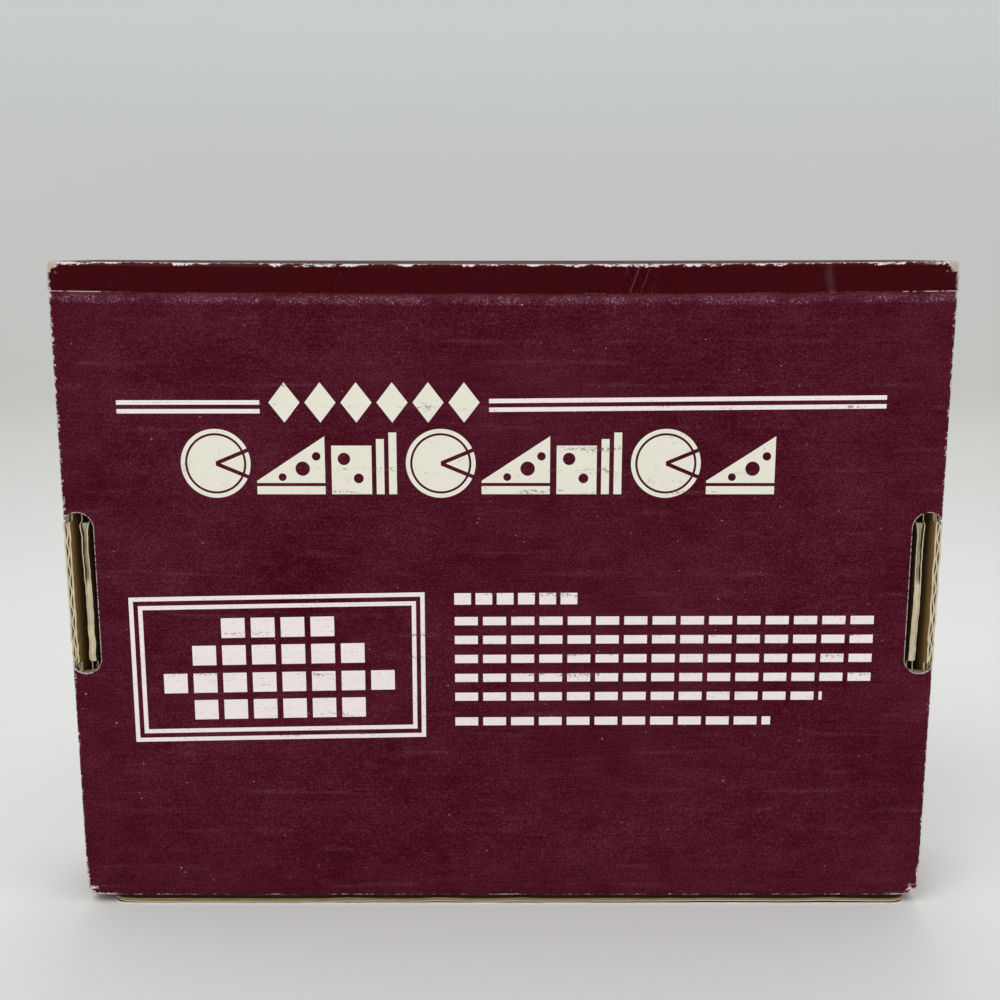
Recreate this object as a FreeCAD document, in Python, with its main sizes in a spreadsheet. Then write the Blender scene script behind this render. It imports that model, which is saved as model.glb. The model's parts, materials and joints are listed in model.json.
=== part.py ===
import FreeCAD, Part

# A retail carton of corrugated board, standing on its long edge, with a marble cheese slicer packed inside.
# X runs along the carton's width, -Y is the way the printed base panel faces and +Z is up. The origin is at
# the middle of the surface that the carton stands on. All lengths are in millimetres.
import math
import os

import Sketcher

# Driving sizes
SIZES = {
    # the folded carton and its board
    "panel_width": 270,
    "panel_height": 203,
    "box_depth": 44.5,
    "board_caliper": 2.7,
    "crease_gap": 0.3,
    "fold_radius": 1.2,
    # the two slots at the ends of the base panel, and the tab in each
    "slot_length": 51.5,
    "slot_reach": 9.3,
    "slot_end_radius": 4.9,
    "tab_recess": 0.8,
    "tab_corner": 1.6,
    "tongue_recess": 0.35,
    # the flaps
    "dust_flap_length": 66,
    "dust_flap_corner": 8,
    "flap_inset_left": 8.5,
    "flap_inset_right": 4,
    "flap_corner_radius": 4,
    # the tape over the top edge
    "tape_width": 38,
    "tape_drop": 9.6,
    "tape_thickness": 0.1,
    # the packing round the slicer
    "insert_clearance": 0.3,
    "insert_head_wall": 6,
    "insert_foot_wall": 5.1,
    "insert_side_wall": 19.5,
    "arm_slot_clearance": 1.5,
    "handle_well_clearance": 2,
    # the stone board, whose length and breadth are what the packing leaves: 203 by 127
    "stone_thickness": 19,
    "stone_corner_radius": 6,
    "stone_edge_chamfer": 1.2,
    "groove_width": 3,
    "groove_depth": 8,
    "groove_inset": 38,
    "notch_width": 12,
    "notch_depth": 14,
    # the rubber feet
    "foot_height": 6,
    "foot_radius": 6.5,
    "foot_tip_radius": 5.5,
    "foot_inset": 15,
    # the arm
    "rod_radius": 2.5,
    "rod_end_chamfer": 0.5,
    "pivot_clearance": 0.05,
    "pivot_setback": 8,
    "pivot_drop": 6.5,
    "pivot_reach": 20,
    "arm_side_gap": 5,
    "arm_bend_radius": 7,
    "arm_front_gap": 5,
    "eye_radius": 4.5,
    "eye_length": 8,
    "stud_radius": 2.4,
    "stud_clearance": 0.05,
    "stud_proud": 2,
    "stud_grip": 18,
    # the handle
    "washer_radius": 6,
    "washer_thickness": 1,
    "turning_gap": 0.1,
    "handle_length": 44,
    "handle_radius": 11,
    "handle_neck_radius": 8,
    "handle_tip_radius": 6.5,
    "nut_radius": 4,
    "nut_length": 20,
    # the wire
    "wire_radius": 0.3,
    "loop_wire_radius": 0.36,
    "wire_clearance": 0.05,
    "loop_clearance": 0.1,
    "sleeve_radius": 1,
    "sleeve_length": 5,
    "barrel_radius": 1.2,
    "barrel_length": 3,
    # how far a cut runs past the face that it opens
    "overrun": 1,
}

# Places worked out from the sizes, from the carton inwards
PLACES = {
    "half_width": "Sizes.panel_width / 2",
    "half_caliper": "Sizes.board_caliper / 2",
    "lid_outer": "Sizes.box_depth / 2",
    "lid_inner": "lid_outer - Sizes.board_caliper",
    "lid_crease_y": "lid_outer - half_caliper",
    "tape_front": "-Sizes.box_depth / 2",
    "panel_front": "tape_front + Sizes.tape_thickness",
    "panel_back": "panel_front + Sizes.board_caliper",
    "fill_limit": "lid_inner - Sizes.crease_gap",
    "floor_level": "0",
    "flap_top": "Sizes.board_caliper",
    "lid_low": "flap_top + Sizes.crease_gap",
    "panel_low": "flap_top",
    "panel_high": "panel_low + Sizes.panel_height",
    "panel_middle": "panel_low + Sizes.panel_height / 2",
    "hinge_height": "panel_high - half_caliper",
    "front_wall_inner": "panel_low + Sizes.board_caliper",
    "hinge_wall_inner": "panel_high - Sizes.board_caliper",
    "end_wall_inner": "half_width - Sizes.board_caliper",
    "dust_outer": "end_wall_inner - Sizes.crease_gap",
    "dust_inner": "dust_outer - Sizes.board_caliper",
    "roll_outer": "dust_inner - Sizes.crease_gap",
    "roll_inner": "roll_outer - Sizes.board_caliper",
    "cap_low": "fill_limit - Sizes.board_caliper",
    "roll_low": "front_wall_inner + Sizes.crease_gap",
    "roll_high": "hinge_wall_inner - Sizes.crease_gap",
    "dust_top_tip": "hinge_wall_inner - Sizes.dust_flap_length",
    "dust_bottom_tip": "front_wall_inner + Sizes.dust_flap_length",
    "dust_back": "cap_low - Sizes.crease_gap",
    "dust_front": "panel_back + Sizes.crease_gap",
    # slots and tabs
    "slot_centre_x": "half_width - Sizes.slot_reach + Sizes.slot_end_radius",
    "slot_arc_rise": "Sizes.slot_length / 2 - Sizes.slot_end_radius",
    "slot_arc_low": "panel_middle - slot_arc_rise",
    "slot_arc_high": "panel_middle + slot_arc_rise",
    "edge_offset": "half_width - slot_centre_x",
    "edge_opening": "slot_arc_rise + sqrt(Sizes.slot_end_radius ^ 2 - edge_offset ^ 2) - Sizes.crease_gap",
    "tongue_low": "panel_middle - edge_opening",
    "tongue_high": "panel_middle + edge_opening",
    "tongue_tip": "panel_front + Sizes.tongue_recess",
    "tab_offset": "slot_centre_x - roll_inner",
    "tab_reach": "slot_arc_rise + sqrt(Sizes.slot_end_radius ^ 2 - tab_offset ^ 2) - Sizes.crease_gap",
    "tab_low": "panel_middle - tab_reach",
    "tab_high": "panel_middle + tab_reach",
    "tab_tip": "panel_front + Sizes.tab_recess",
    # the lid's outside flap
    "flap_left": "Sizes.flap_inset_left - half_width",
    "flap_right": "half_width - Sizes.flap_inset_right",
    # tape
    "tape_low": "panel_high - Sizes.tape_drop",
    "tape_high": "panel_high + Sizes.tape_thickness",
    "tape_back": "tape_front + Sizes.tape_width - Sizes.tape_drop",
    # the packing's outside
    "insert_side": "roll_inner - Sizes.crease_gap",
    "insert_low": "front_wall_inner + Sizes.crease_gap",
    "insert_high": "hinge_wall_inner - Sizes.crease_gap",
    # the handle and the rod's cross piece, from the packing's foot wall up
    "well_floor": "insert_low + Sizes.insert_foot_wall",
    "handle_low": "well_floor + Sizes.handle_well_clearance",
    "handle_high": "handle_low + Sizes.handle_length",
    "handle_waist": "(handle_low + handle_high) / 2",
    "washer_low": "handle_high + Sizes.turning_gap",
    "eye_low": "washer_low + Sizes.washer_thickness",
    "eye_high": "eye_low + Sizes.eye_length",
    "cross_z": "(eye_low + eye_high) / 2",
    # the stone board, above the rod's cross piece and with the arm beside it
    "arm_room": "Sizes.arm_side_gap + 2 * Sizes.rod_radius",
    "stone_left": "Sizes.insert_side_wall + arm_room - insert_side",
    "stone_right": "insert_side - Sizes.insert_side_wall",
    "stone_rear": "insert_high - Sizes.insert_head_wall - Sizes.insert_clearance",
    "stone_front": "cross_z + Sizes.rod_radius + Sizes.arm_front_gap",
    "stone_under": "panel_back + Sizes.foot_height",
    "stone_top": "stone_under + Sizes.stone_thickness",
    "groove_x": "stone_left + Sizes.groove_inset",
    "groove_left": "groove_x - Sizes.groove_width / 2",
    "groove_right": "groove_x + Sizes.groove_width / 2",
    "groove_floor": "stone_top - Sizes.groove_depth",
    "notch_left": "groove_x - Sizes.notch_width / 2",
    "notch_right": "groove_x + Sizes.notch_width / 2",
    "notch_floor": "stone_rear - Sizes.notch_depth",
    "past_front": "stone_front - Sizes.overrun",
    "past_rear": "stone_rear + Sizes.overrun",
    "past_top": "stone_top + Sizes.overrun",
    "past_under": "stone_under - Sizes.overrun",
    "past_left": "stone_left - Sizes.overrun",
    "foot_left": "stone_left + Sizes.foot_inset",
    "foot_right": "stone_right - Sizes.foot_inset",
    "foot_front": "stone_front + Sizes.foot_inset",
    "foot_rear": "stone_rear - Sizes.foot_inset",
    # the arm
    "pivot_y": "stone_top - Sizes.pivot_drop",
    "pivot_z": "stone_rear - Sizes.pivot_setback",
    "pivot_hole_radius": "Sizes.rod_radius + Sizes.pivot_clearance",
    "pivot_hole_end": "groove_x + Sizes.pivot_reach",
    "pivot_end": "pivot_hole_end - Sizes.rod_end_chamfer",
    "arm_x": "stone_left - Sizes.arm_side_gap - Sizes.rod_radius",
    "arm_bend_x": "arm_x + Sizes.arm_bend_radius",
    "upper_bend_z": "pivot_z - Sizes.arm_bend_radius",
    "lower_bend_z": "cross_z + Sizes.arm_bend_radius",
    "past_eye_low": "eye_low - Sizes.overrun",
    "past_eye_high": "eye_high + Sizes.overrun",
    "stud_bore_radius": "Sizes.stud_radius + Sizes.stud_clearance",
    "stud_high": "eye_high + Sizes.stud_proud",
    "nut_low": "handle_high - Sizes.nut_length",
    "stud_low": "handle_high - Sizes.stud_grip",
    # the wire
    "wire_bore_radius": "Sizes.wire_radius + Sizes.wire_clearance",
    "loop_radius": "Sizes.rod_radius + Sizes.loop_clearance + Sizes.loop_wire_radius",
    "loop_low": "pivot_z - loop_radius",
    "sleeve_high": "loop_low - Sizes.loop_wire_radius - Sizes.loop_clearance",
    "sleeve_low": "sleeve_high - Sizes.sleeve_length",
    "barrel_high": "stud_high + Sizes.barrel_length",
    # the packing's window, with the slot for the arm and the well for the handle
    "window_right": "stone_right + Sizes.insert_clearance",
    "window_left": "stone_left - Sizes.insert_clearance",
    "window_high": "stone_rear + Sizes.insert_clearance",
    "shoulder": "stone_front - Sizes.insert_clearance",
    "arm_slot_left": "arm_x - Sizes.rod_radius - Sizes.arm_slot_clearance",
    "arm_slot_high": "pivot_z + Sizes.rod_radius + Sizes.arm_slot_clearance",
    "well_right": "groove_x + Sizes.handle_radius + Sizes.handle_well_clearance",
}

ORIGIN_PLANES = {"X": "YZ_Plane", "Y": "XZ_Plane", "Z": "XY_Plane"}
START, END, CENTRE = range(1, 4)
ORIGIN_POINT = (-1, START)
MATCH = 1e-4


doc = FreeCAD.newDocument("BoxedSlicer")


def fill_sheet(name, rows, lead):
    """A sheet with one named value on each row."""
    sheet = doc.addObject("Spreadsheet::Sheet", name)
    for row, (alias, content) in enumerate(rows.items(), start=1):
        sheet.set(f"A{row}", alias)
        sheet.set(f"B{row}", f"{lead}{content}")
        sheet.setAlias(f"B{row}", alias)
    doc.recompute()
    return sheet


sizes_sheet = fill_sheet("Sizes", SIZES, "")
places_sheet = fill_sheet("Places", PLACES, "=")


def ref(name):
    """The expression for a named value, which a leading minus turns round."""
    sign, alias = ("-", name[1:]) if name.startswith("-") else ("", name)
    return f"{sign}Sizes.{alias}" if alias in SIZES else f"{sign}Places.{alias}"


def number(name):
    """The present number of a named value."""
    sign, alias = (-1, name[1:]) if name.startswith("-") else (1, name)
    sheet = sizes_sheet if alias in SIZES else places_sheet
    return sign * float(sheet.get(alias))


def opposite(name):
    """The name of the same place on the other side of the middle."""
    return name[1:] if name.startswith("-") else f"-{name}"


# Sketches
def new_body(label):
    body = doc.addObject("PartDesign::Body", label)
    body.Label = label
    return body


def sketch_on(body, axis, name, level):
    """A sketch square to an axis, at a named level along it."""
    sketch = body.newObject("Sketcher::SketchObject", name)
    role = ORIGIN_PLANES[axis]
    plane = next(item for item in body.Origin.OriginFeatures if item.Role == role)
    sketch.AttachmentSupport = (plane, [""])
    sketch.MapMode = "FlatFace"
    towards = opposite(level) if axis == "Y" else level
    sketch.setExpression("AttachmentOffset.Base.z", ref(towards))
    return sketch


def hold(sketch, kind, item, point, name):
    """Fix a point's distance from the sketch's origin at a named value."""
    index = sketch.addConstraint(Sketcher.Constraint(kind, *ORIGIN_POINT, item, point, number(name)))
    sketch.setExpression(f"Constraints[{index}]", ref(name))


def hold_point(sketch, item, point, place):
    hold(sketch, "DistanceX", item, point, place[0])
    hold(sketch, "DistanceY", item, point, place[1])


def hold_radius(sketch, item, name):
    index = sketch.addConstraint(Sketcher.Constraint("Radius", item, number(name)))
    sketch.setExpression(f"Constraints[{index}]", ref(name))


def at(place):
    return FreeCAD.Vector(number(place[0]), number(place[1]), 0)


def join(sketch, pairs, kind="Coincident"):
    for (first, first_point), (second, second_point) in pairs:
        sketch.addConstraint(Sketcher.Constraint(kind, first, first_point, second, second_point))


def polygon(sketch, corners):
    """A closed outline through named corners."""
    lines = []
    for index, corner in enumerate(corners):
        following = corners[(index + 1) % len(corners)]
        lines.append(sketch.addGeometry(Part.LineSegment(at(corner), at(following)), False))
    join(sketch, [((line, END), (following, START)) for line, following in zip(lines, lines[1:] + lines[:1])])
    for line, corner in zip(lines, corners):
        hold_point(sketch, line, START, corner)


def circle(sketch, centre, radius):
    item = sketch.addGeometry(Part.Circle(at(centre), FreeCAD.Vector(0, 0, 1), number(radius)), False)
    hold_point(sketch, item, CENTRE, centre)
    hold_radius(sketch, item, radius)


def arc_about(centre, radius, start, end):
    return Part.ArcOfCircle(Part.Circle(centre, FreeCAD.Vector(0, 0, 1), radius), start, end)


def pill(sketch, centre_x, low, high, radius):
    """An upright slot with round ends, from the centres of its two ends."""
    top, bottom, reach = at((centre_x, high)), at((centre_x, low)), FreeCAD.Vector(number(radius), 0, 0)
    upper = sketch.addGeometry(arc_about(top, reach.x, 0, math.pi), False)
    left = sketch.addGeometry(Part.LineSegment(top - reach, bottom - reach), False)
    lower = sketch.addGeometry(arc_about(bottom, reach.x, math.pi, 2 * math.pi), False)
    right = sketch.addGeometry(Part.LineSegment(bottom + reach, top + reach), False)
    ring = [upper, left, lower, right, upper]
    join(sketch, [((a, END), (b, START)) for a, b in zip(ring, ring[1:])], "Tangent")
    sketch.addConstraint(Sketcher.Constraint("Equal", upper, lower))
    hold_point(sketch, upper, CENTRE, (centre_x, high))
    hold_point(sketch, lower, CENTRE, (centre_x, low))
    hold_radius(sketch, upper, radius)


def round_ended(sketch, first, second, centre, run):
    """A strip from two square corners to a half-round end, anticlockwise from the second corner."""
    upright = run == "Vertical"
    turn = 0 if upright else -math.pi / 2
    middle, foot, back = at(centre), at(second), at(first)
    radius = abs(foot.x - middle.x) if upright else abs(foot.y - middle.y)
    end = arc_about(middle, radius, turn, turn + math.pi)
    base = sketch.addGeometry(Part.LineSegment(back, foot), False)
    out = sketch.addGeometry(Part.LineSegment(foot, end.StartPoint), False)
    arc = sketch.addGeometry(end, False)
    home = sketch.addGeometry(Part.LineSegment(end.EndPoint, back), False)
    join(sketch, [((base, END), (out, START)), ((home, END), (base, START))])
    join(sketch, [((out, END), (arc, START)), ((arc, END), (home, START))], "Tangent")
    hold_point(sketch, base, START, first)
    hold_point(sketch, base, END, second)
    hold_point(sketch, arc, CENTRE, centre)
    sketch.addConstraint(Sketcher.Constraint(run, out))


# Solid features
def slab_feature(body, kind, axis, name, low, high, draw):
    """Pad or pocket a drawn outline from a low to a high level along an axis."""
    sketch = sketch_on(body, axis, f"{name}_sketch", high if axis == "Y" else low)
    draw(sketch)
    feature = body.newObject(f"PartDesign::{kind}", name)
    feature.Profile = sketch
    feature.setExpression("Length", f"{ref(high)} - ({ref(low)})")
    feature.Reversed = kind == "Pocket"
    doc.recompute()
    return feature


def rectangle(left, right, low, high):
    return [(left, low), (right, low), (right, high), (left, high)]


def plate(label, axis, low, high, corners):
    body = new_body(label)
    slab_feature(body, "Pad", axis, f"{label}_pad", low, high, lambda sketch: polygon(sketch, corners))
    return body


def cut(body, axis, name, low, high, draw):
    """A pocket that has to take something away."""
    before = body.Shape.Volume
    slab_feature(body, "Pocket", axis, name, low, high, draw)
    if body.Shape.Volume > before - MATCH:
        raise RuntimeError(f"{name} cuts nothing")


def soften(body, kind, name, size, wanted):
    """Round or bevel the edges that a test picks."""
    base = body.Tip
    edges = [f"Edge{i}" for i, edge in enumerate(base.Shape.Edges, start=1) if wanted(edge)]
    feature = body.newObject(f"PartDesign::{kind}", name)
    feature.Base = (base, edges)
    feature.setExpression("Radius" if kind == "Fillet" else "Size", ref(size))
    doc.recompute()


def along(edge, axis):
    """Whether an edge is straight and runs along an axis."""
    if not isinstance(edge.Curve, Part.Line):
        return False
    return abs(abs(getattr(edge.Curve.Direction, axis.lower())) - 1) < MATCH


def lies_at(edge, axis, name):
    """Whether all of an edge is at one named level along an axis."""
    box, axis = edge.BoundBox, axis.upper()
    level = number(name)
    return max(abs(getattr(box, f"{axis}Min") - level), abs(getattr(box, f"{axis}Max") - level)) < MATCH


def turned(label, axis, foot, profile, belly=None):
    """A turned piece whose axis runs along Y or Z through a named foot, from a half profile.

    The profile's corners are radius and level. A belly is the corner that an arc starts from and the place
    that the arc passes through on its way to the next corner.
    """
    body = new_body(label)
    sketch = sketch_on(body, "Z" if axis == "Y" else "Y", f"{label}_profile", foot[1])
    sketch.setExpression("AttachmentOffset.Base.x", ref(foot[0]))
    if belly:
        bellied_polygon(sketch, profile, *belly)
    else:
        polygon(sketch, profile)
    feature = body.newObject("PartDesign::Revolution", f"{label}_turned")
    feature.Profile = sketch
    feature.ReferenceAxis = (sketch, ["V_Axis"])
    feature.Angle = 360
    doc.recompute()
    return body


def bellied_polygon(sketch, corners, start, through):
    """A closed outline with one side an arc through a named place."""
    items = []
    for index, corner in enumerate(corners):
        following = corners[(index + 1) % len(corners)]
        side = Part.LineSegment(at(corner), at(following))
        if index == start:
            side = Part.Arc(at(corner), at(through), at(following))
        items.append(sketch.addGeometry(side, False))
    arc = sketch.Geometry[items[start]]
    flipped = (arc.StartPoint - at(corners[start])).Length > MATCH
    for index, item in enumerate(items):
        following = (index + 1) % len(items)
        here = START if index == start and flipped else END
        there = END if following == start and flipped else START
        join(sketch, [((item, here), (items[following], there))])
        hold_point(sketch, item, END if index == start and flipped else START, corners[index])
    mark = sketch.addGeometry(Part.Point(at(through)), True)
    hold_point(sketch, mark, START, through)
    sketch.addConstraint(Sketcher.Constraint("PointOnObject", mark, START, items[start]))


# The carton
def side_names():
    """Each end of the carton, with the function that puts a right-hand place on that side."""
    return (("left", opposite), ("right", lambda name: name))


def span(place, inner, outer):
    """The low and high names of a stretch that is given from the middle outwards."""
    low, high = place(inner), place(outer)
    return (low, high) if number(low) < number(high) else (high, low)


def make_back_panel():
    body = plate("back_panel", "Y", "panel_front", "panel_back",
                 rectangle("-half_width", "half_width", "panel_low", "panel_high"))
    sides = ("half_width", "-half_width")

    def folded(edge):
        if not lies_at(edge, "Y", "panel_front"):
            return False
        return lies_at(edge, "Z", "panel_low") or any(lies_at(edge, "X", side) for side in sides)

    soften(body, "Fillet", "panel_folds", "fold_radius", folded)
    for side, place in side_names():
        ends = (place("slot_centre_x"), "slot_arc_low", "slot_arc_high", "slot_end_radius")
        cut(body, "Y", f"slot_{side}", "panel_front", "panel_back", lambda sketch: pill(sketch, *ends))


def make_walls():
    """The top and bottom walls and the two outer end walls, whose tongues reach into the slots."""
    between = ("-end_wall_inner", "end_wall_inner", "panel_back", "fill_limit")
    plate("hinge_wall", "Z", "hinge_wall_inner", "panel_high", rectangle(*between))
    plate("front_wall", "Z", "panel_low", "front_wall_inner", rectangle(*between))
    outline = [
        ("panel_back", "panel_low"), ("fill_limit", "panel_low"), ("fill_limit", "panel_high"),
        ("panel_back", "panel_high"), ("panel_back", "tongue_high"), ("tongue_tip", "tongue_high"),
        ("tongue_tip", "tongue_low"), ("panel_back", "tongue_low"),
    ]
    for side, place in side_names():
        plate(f"side_wall_{side}", "X", *span(place, "end_wall_inner", "half_width"), outline)


def make_roll_overs():
    """Each inner end wall, with its cap strip under the lid and its tab in the slot."""
    outline = [
        ("panel_back", "roll_low"), ("fill_limit", "roll_low"), ("fill_limit", "roll_high"),
        ("panel_back", "roll_high"), ("panel_back", "tab_high"), ("tab_tip", "tab_high"),
        ("tab_tip", "tab_low"), ("panel_back", "tab_low"),
    ]
    for side, place in side_names():
        body = plate(f"roll_over_{side}", "X", *span(place, "roll_inner", "roll_outer"), outline)
        cap = rectangle(*span(place, "roll_inner", "end_wall_inner"), "roll_low", "roll_high")
        slab_feature(body, "Pad", "Y", f"cap_{side}", "cap_low", "fill_limit",
                     lambda sketch: polygon(sketch, cap))
        soften(body, "Fillet", f"tab_corners_{side}", "tab_corner",
               lambda edge: along(edge, "X") and lies_at(edge, "Y", "tab_tip"))


def make_dust_flaps():
    """Four flaps, one from each end of the top and bottom walls, between the inner and outer end walls."""
    rows = (("top", "dust_top_tip", "hinge_wall_inner"), ("bottom", "front_wall_inner", "dust_bottom_tip"))
    for side, place in side_names():
        for row, low, high in rows:
            corners = rectangle("dust_front", "dust_back", low, high)
            body = plate(f"dust_flap_{row}_{side}", "X", *span(place, "dust_inner", "dust_outer"), corners)
            tip = low if row == "top" else high
            soften(body, "Fillet", f"dust_corners_{row}_{side}", "dust_flap_corner",
                   lambda edge: along(edge, "X") and lies_at(edge, "Z", tip))


def make_lid():
    """The lid and its outside flap, each with a half-round end on the line that it folds about."""
    lid = new_body("lid_panel")
    lid_places = (("lid_inner", "lid_low"), ("lid_outer", "lid_low"), ("lid_crease_y", "hinge_height"))
    slab_feature(lid, "Pad", "X", "lid_pad", "-half_width", "half_width",
                 lambda sketch: round_ended(sketch, *lid_places, "Vertical"))
    flap = new_body("lid_front_flap")
    crease = ("lid_crease_y", "half_caliper")
    flap_end = (("tape_front", "flap_top"), ("tape_front", "floor_level"))
    slab_feature(flap, "Pad", "X", "flap_pad", "flap_left", "flap_right",
                 lambda sketch: round_ended(sketch, *flap_end, crease, "Horizontal"))
    soften(flap, "Fillet", "flap_corners", "flap_corner_radius",
           lambda edge: along(edge, "Z") and lies_at(edge, "Y", "tape_front"))


def make_tape():
    outline = [
        ("tape_front", "tape_low"), ("panel_front", "tape_low"), ("panel_front", "panel_high"),
        ("tape_back", "panel_high"), ("tape_back", "tape_high"), ("tape_front", "tape_high"),
    ]
    plate("sealing_tape", "X", "-half_width", "half_width", outline)


def make_insert():
    """The packing: a thick frame of glued board with a window for the stone, the arm and the handle."""
    outside = rectangle("-insert_side", "insert_side", "insert_low", "insert_high")
    window = [
        ("arm_slot_left", "well_floor"), ("well_right", "well_floor"), ("well_right", "shoulder"),
        ("window_right", "shoulder"), ("window_right", "window_high"), ("window_left", "window_high"),
        ("window_left", "arm_slot_high"), ("arm_slot_left", "arm_slot_high"),
    ]
    body = plate("insert_frame", "Y", "panel_back", "fill_limit", outside)
    cut(body, "Y", "insert_window", "panel_back", "fill_limit", lambda sketch: polygon(sketch, window))


# The slicer
def make_stone():
    body = plate("marble_board", "Y", "stone_under", "stone_top",
                 rectangle("stone_left", "stone_right", "stone_front", "stone_rear"))
    soften(body, "Fillet", "stone_corners", "stone_corner_radius", lambda edge: along(edge, "Y"))
    soften(body, "Chamfer", "stone_arris", "stone_edge_chamfer", lambda edge: lies_at(edge, "Y", "stone_top"))
    cut(body, "Y", "wire_groove", "groove_floor", "past_top", lambda sketch: polygon(
        sketch, rectangle("groove_left", "groove_right", "past_front", "pivot_z")))
    cut(body, "Y", "rear_notch", "past_under", "past_top", lambda sketch: polygon(
        sketch, rectangle("notch_left", "notch_right", "notch_floor", "past_rear")))
    cut(body, "X", "pivot_hole", "past_left", "pivot_hole_end", lambda sketch: circle(
        sketch, ("pivot_y", "pivot_z"), "pivot_hole_radius"))


def make_feet():
    profile = [
        ("floor_level", "panel_back"), ("foot_tip_radius", "panel_back"),
        ("foot_radius", "stone_under"), ("floor_level", "stone_under"),
    ]
    for row, foot_z in (("front", "foot_front"), ("rear", "foot_rear")):
        for side, foot_x in (("left", "foot_left"), ("right", "foot_right")):
            turned(f"rubber_foot_{row}_{side}", "Y", (foot_x, foot_z), profile)


def make_arm_rod():
    """The bent rod: in through the stone, down beside it and back in under its front edge."""
    body = new_body("arm_rod")
    section = sketch_on(body, "X", "rod_section", "pivot_end")
    circle(section, ("pivot_y", "pivot_z"), "rod_radius")
    spine = sketch_on(body, "Y", "rod_spine", "pivot_y")
    bend = number("arm_bend_radius")
    straights = [
        (("pivot_end", "pivot_z"), ("arm_bend_x", "pivot_z")),
        (("arm_x", "upper_bend_z"), ("arm_x", "lower_bend_z")),
        (("arm_bend_x", "cross_z"), ("groove_x", "cross_z")),
    ]
    centres = [("arm_bend_x", "upper_bend_z"), ("arm_bend_x", "lower_bend_z")]
    lines = [spine.addGeometry(Part.LineSegment(at(start), at(end)), False) for start, end in straights]
    turns = ((math.pi / 2, math.pi), (math.pi, 3 * math.pi / 2))
    bends = [arc_about(at(centre), bend, *turn) for centre, turn in zip(centres, turns)]
    arcs = [spine.addGeometry(item, False) for item in bends]
    for line, (start, end) in zip(lines, straights):
        hold_point(spine, line, START, start)
        hold_point(spine, line, END, end)
    for index, arc in enumerate(arcs):
        join(spine, [((lines[index], END), (arc, START)), ((arc, END), (lines[index + 1], START))])
        hold(spine, "DistanceX", arc, CENTRE, centres[index][0])
    doc.recompute()
    pipe = body.newObject("PartDesign::AdditivePipe", "rod_pipe")
    pipe.Profile = section
    pipe.Spine = (spine, [f"Edge{index + 1}" for index in range(len(spine.Shape.Edges))])
    pipe.Mode = "Frenet"
    doc.recompute()
    soften(body, "Chamfer", "rod_end", "rod_end_chamfer", lambda edge: lies_at(edge, "X", "pivot_end"))
    cut(body, "Z", "rod_saddle", "past_eye_low", "past_eye_high", lambda sketch: circle(
        sketch, ("groove_x", "pivot_y"), "eye_radius"))


def ring(label, inner, outer, low, high):
    """A turned ring on the line of the wire."""
    turned(label, "Z", ("groove_x", "pivot_y"), rectangle(inner, outer, low, high))


def make_tension_parts():
    ring("rod_eye", "stud_bore_radius", "eye_radius", "eye_low", "eye_high")
    ring("tension_stud", "floor_level", "stud_radius", "stud_low", "stud_high")
    ring("handle_washer", "stud_bore_radius", "washer_radius", "washer_low", "eye_low")
    ring("handle_nut", "stud_bore_radius", "nut_radius", "nut_low", "handle_high")
    bore = [("nut_radius", "handle_high"), ("nut_radius", "nut_low"), ("floor_level", "nut_low")]
    tip = ("handle_tip_radius", "handle_low")
    profile = bore + [("floor_level", "handle_low"), tip, ("handle_neck_radius", "handle_high")]
    turned("handle", "Z", ("groove_x", "pivot_y"), profile,
           (profile.index(tip), ("handle_radius", "handle_waist")))


def make_wire():
    """The wire: a loop round the pivot rod and a straight run to the stud, with a crimp at each end."""
    loop = doc.addObject("Part::Torus", "wire_loop")
    loop.setExpression("Radius1", ref("loop_radius"))
    loop.setExpression("Radius2", ref("loop_wire_radius"))
    loop.Placement.Rotation = FreeCAD.Rotation(FreeCAD.Vector(0, 1, 0), 90)
    run = doc.addObject("Part::Cylinder", "wire_run")
    run.setExpression("Radius", ref("wire_radius"))
    run.setExpression("Height", f"{ref('loop_low')} - {ref('stud_high')}")
    for piece, height in ((loop, "pivot_z"), (run, "stud_high")):
        for letter, name in (("x", "groove_x"), ("y", "pivot_y"), ("z", height)):
            piece.setExpression(f"Placement.Base.{letter}", ref(name))
    wire = doc.addObject("Part::Fuse", "cutting_wire")
    wire.Base = run
    wire.Tool = loop
    wire.Label = "cutting_wire"
    doc.recompute()
    ring("wire_sleeve", "wire_bore_radius", "sleeve_radius", "sleeve_low", "sleeve_high")
    ring("wire_barrel", "wire_bore_radius", "barrel_radius", "stud_high", "barrel_high")
    return wire


def write_parts(pieces):
    """Check every object and every piece, then write each piece's file."""
    for item in doc.Objects:
        if any(word in item.State for word in ("Invalid", "Error")):
            raise RuntimeError(f"{item.Label} failed: {item.State}")
    for piece in pieces:
        shape = piece.Shape
        if shape.isNull() or not shape.isValid() or len(shape.Solids) != 1:
            raise RuntimeError(f"{piece.Label} is not one valid solid")
    os.makedirs("parts", exist_ok=True)
    for piece in pieces:
        piece.Shape.exportStep(f"parts/{piece.Label}.step")
        print(f"{piece.Label}: {piece.Shape.Volume:.1f} mm3")


make_back_panel()
make_walls()
make_roll_overs()
make_dust_flaps()
make_lid()
make_tape()
make_insert()
make_stone()
make_feet()
make_arm_rod()
make_tension_parts()
cutting_wire = make_wire()
doc.recompute()
write_parts([item for item in doc.Objects if item.isDerivedFrom("PartDesign::Body")] + [cutting_wire])
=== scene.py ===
import json
import math
import random

import bmesh
import bpy
from bpy.props import FloatProperty, FloatVectorProperty, PointerProperty
from mathutils import Matrix, Vector, noise


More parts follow.
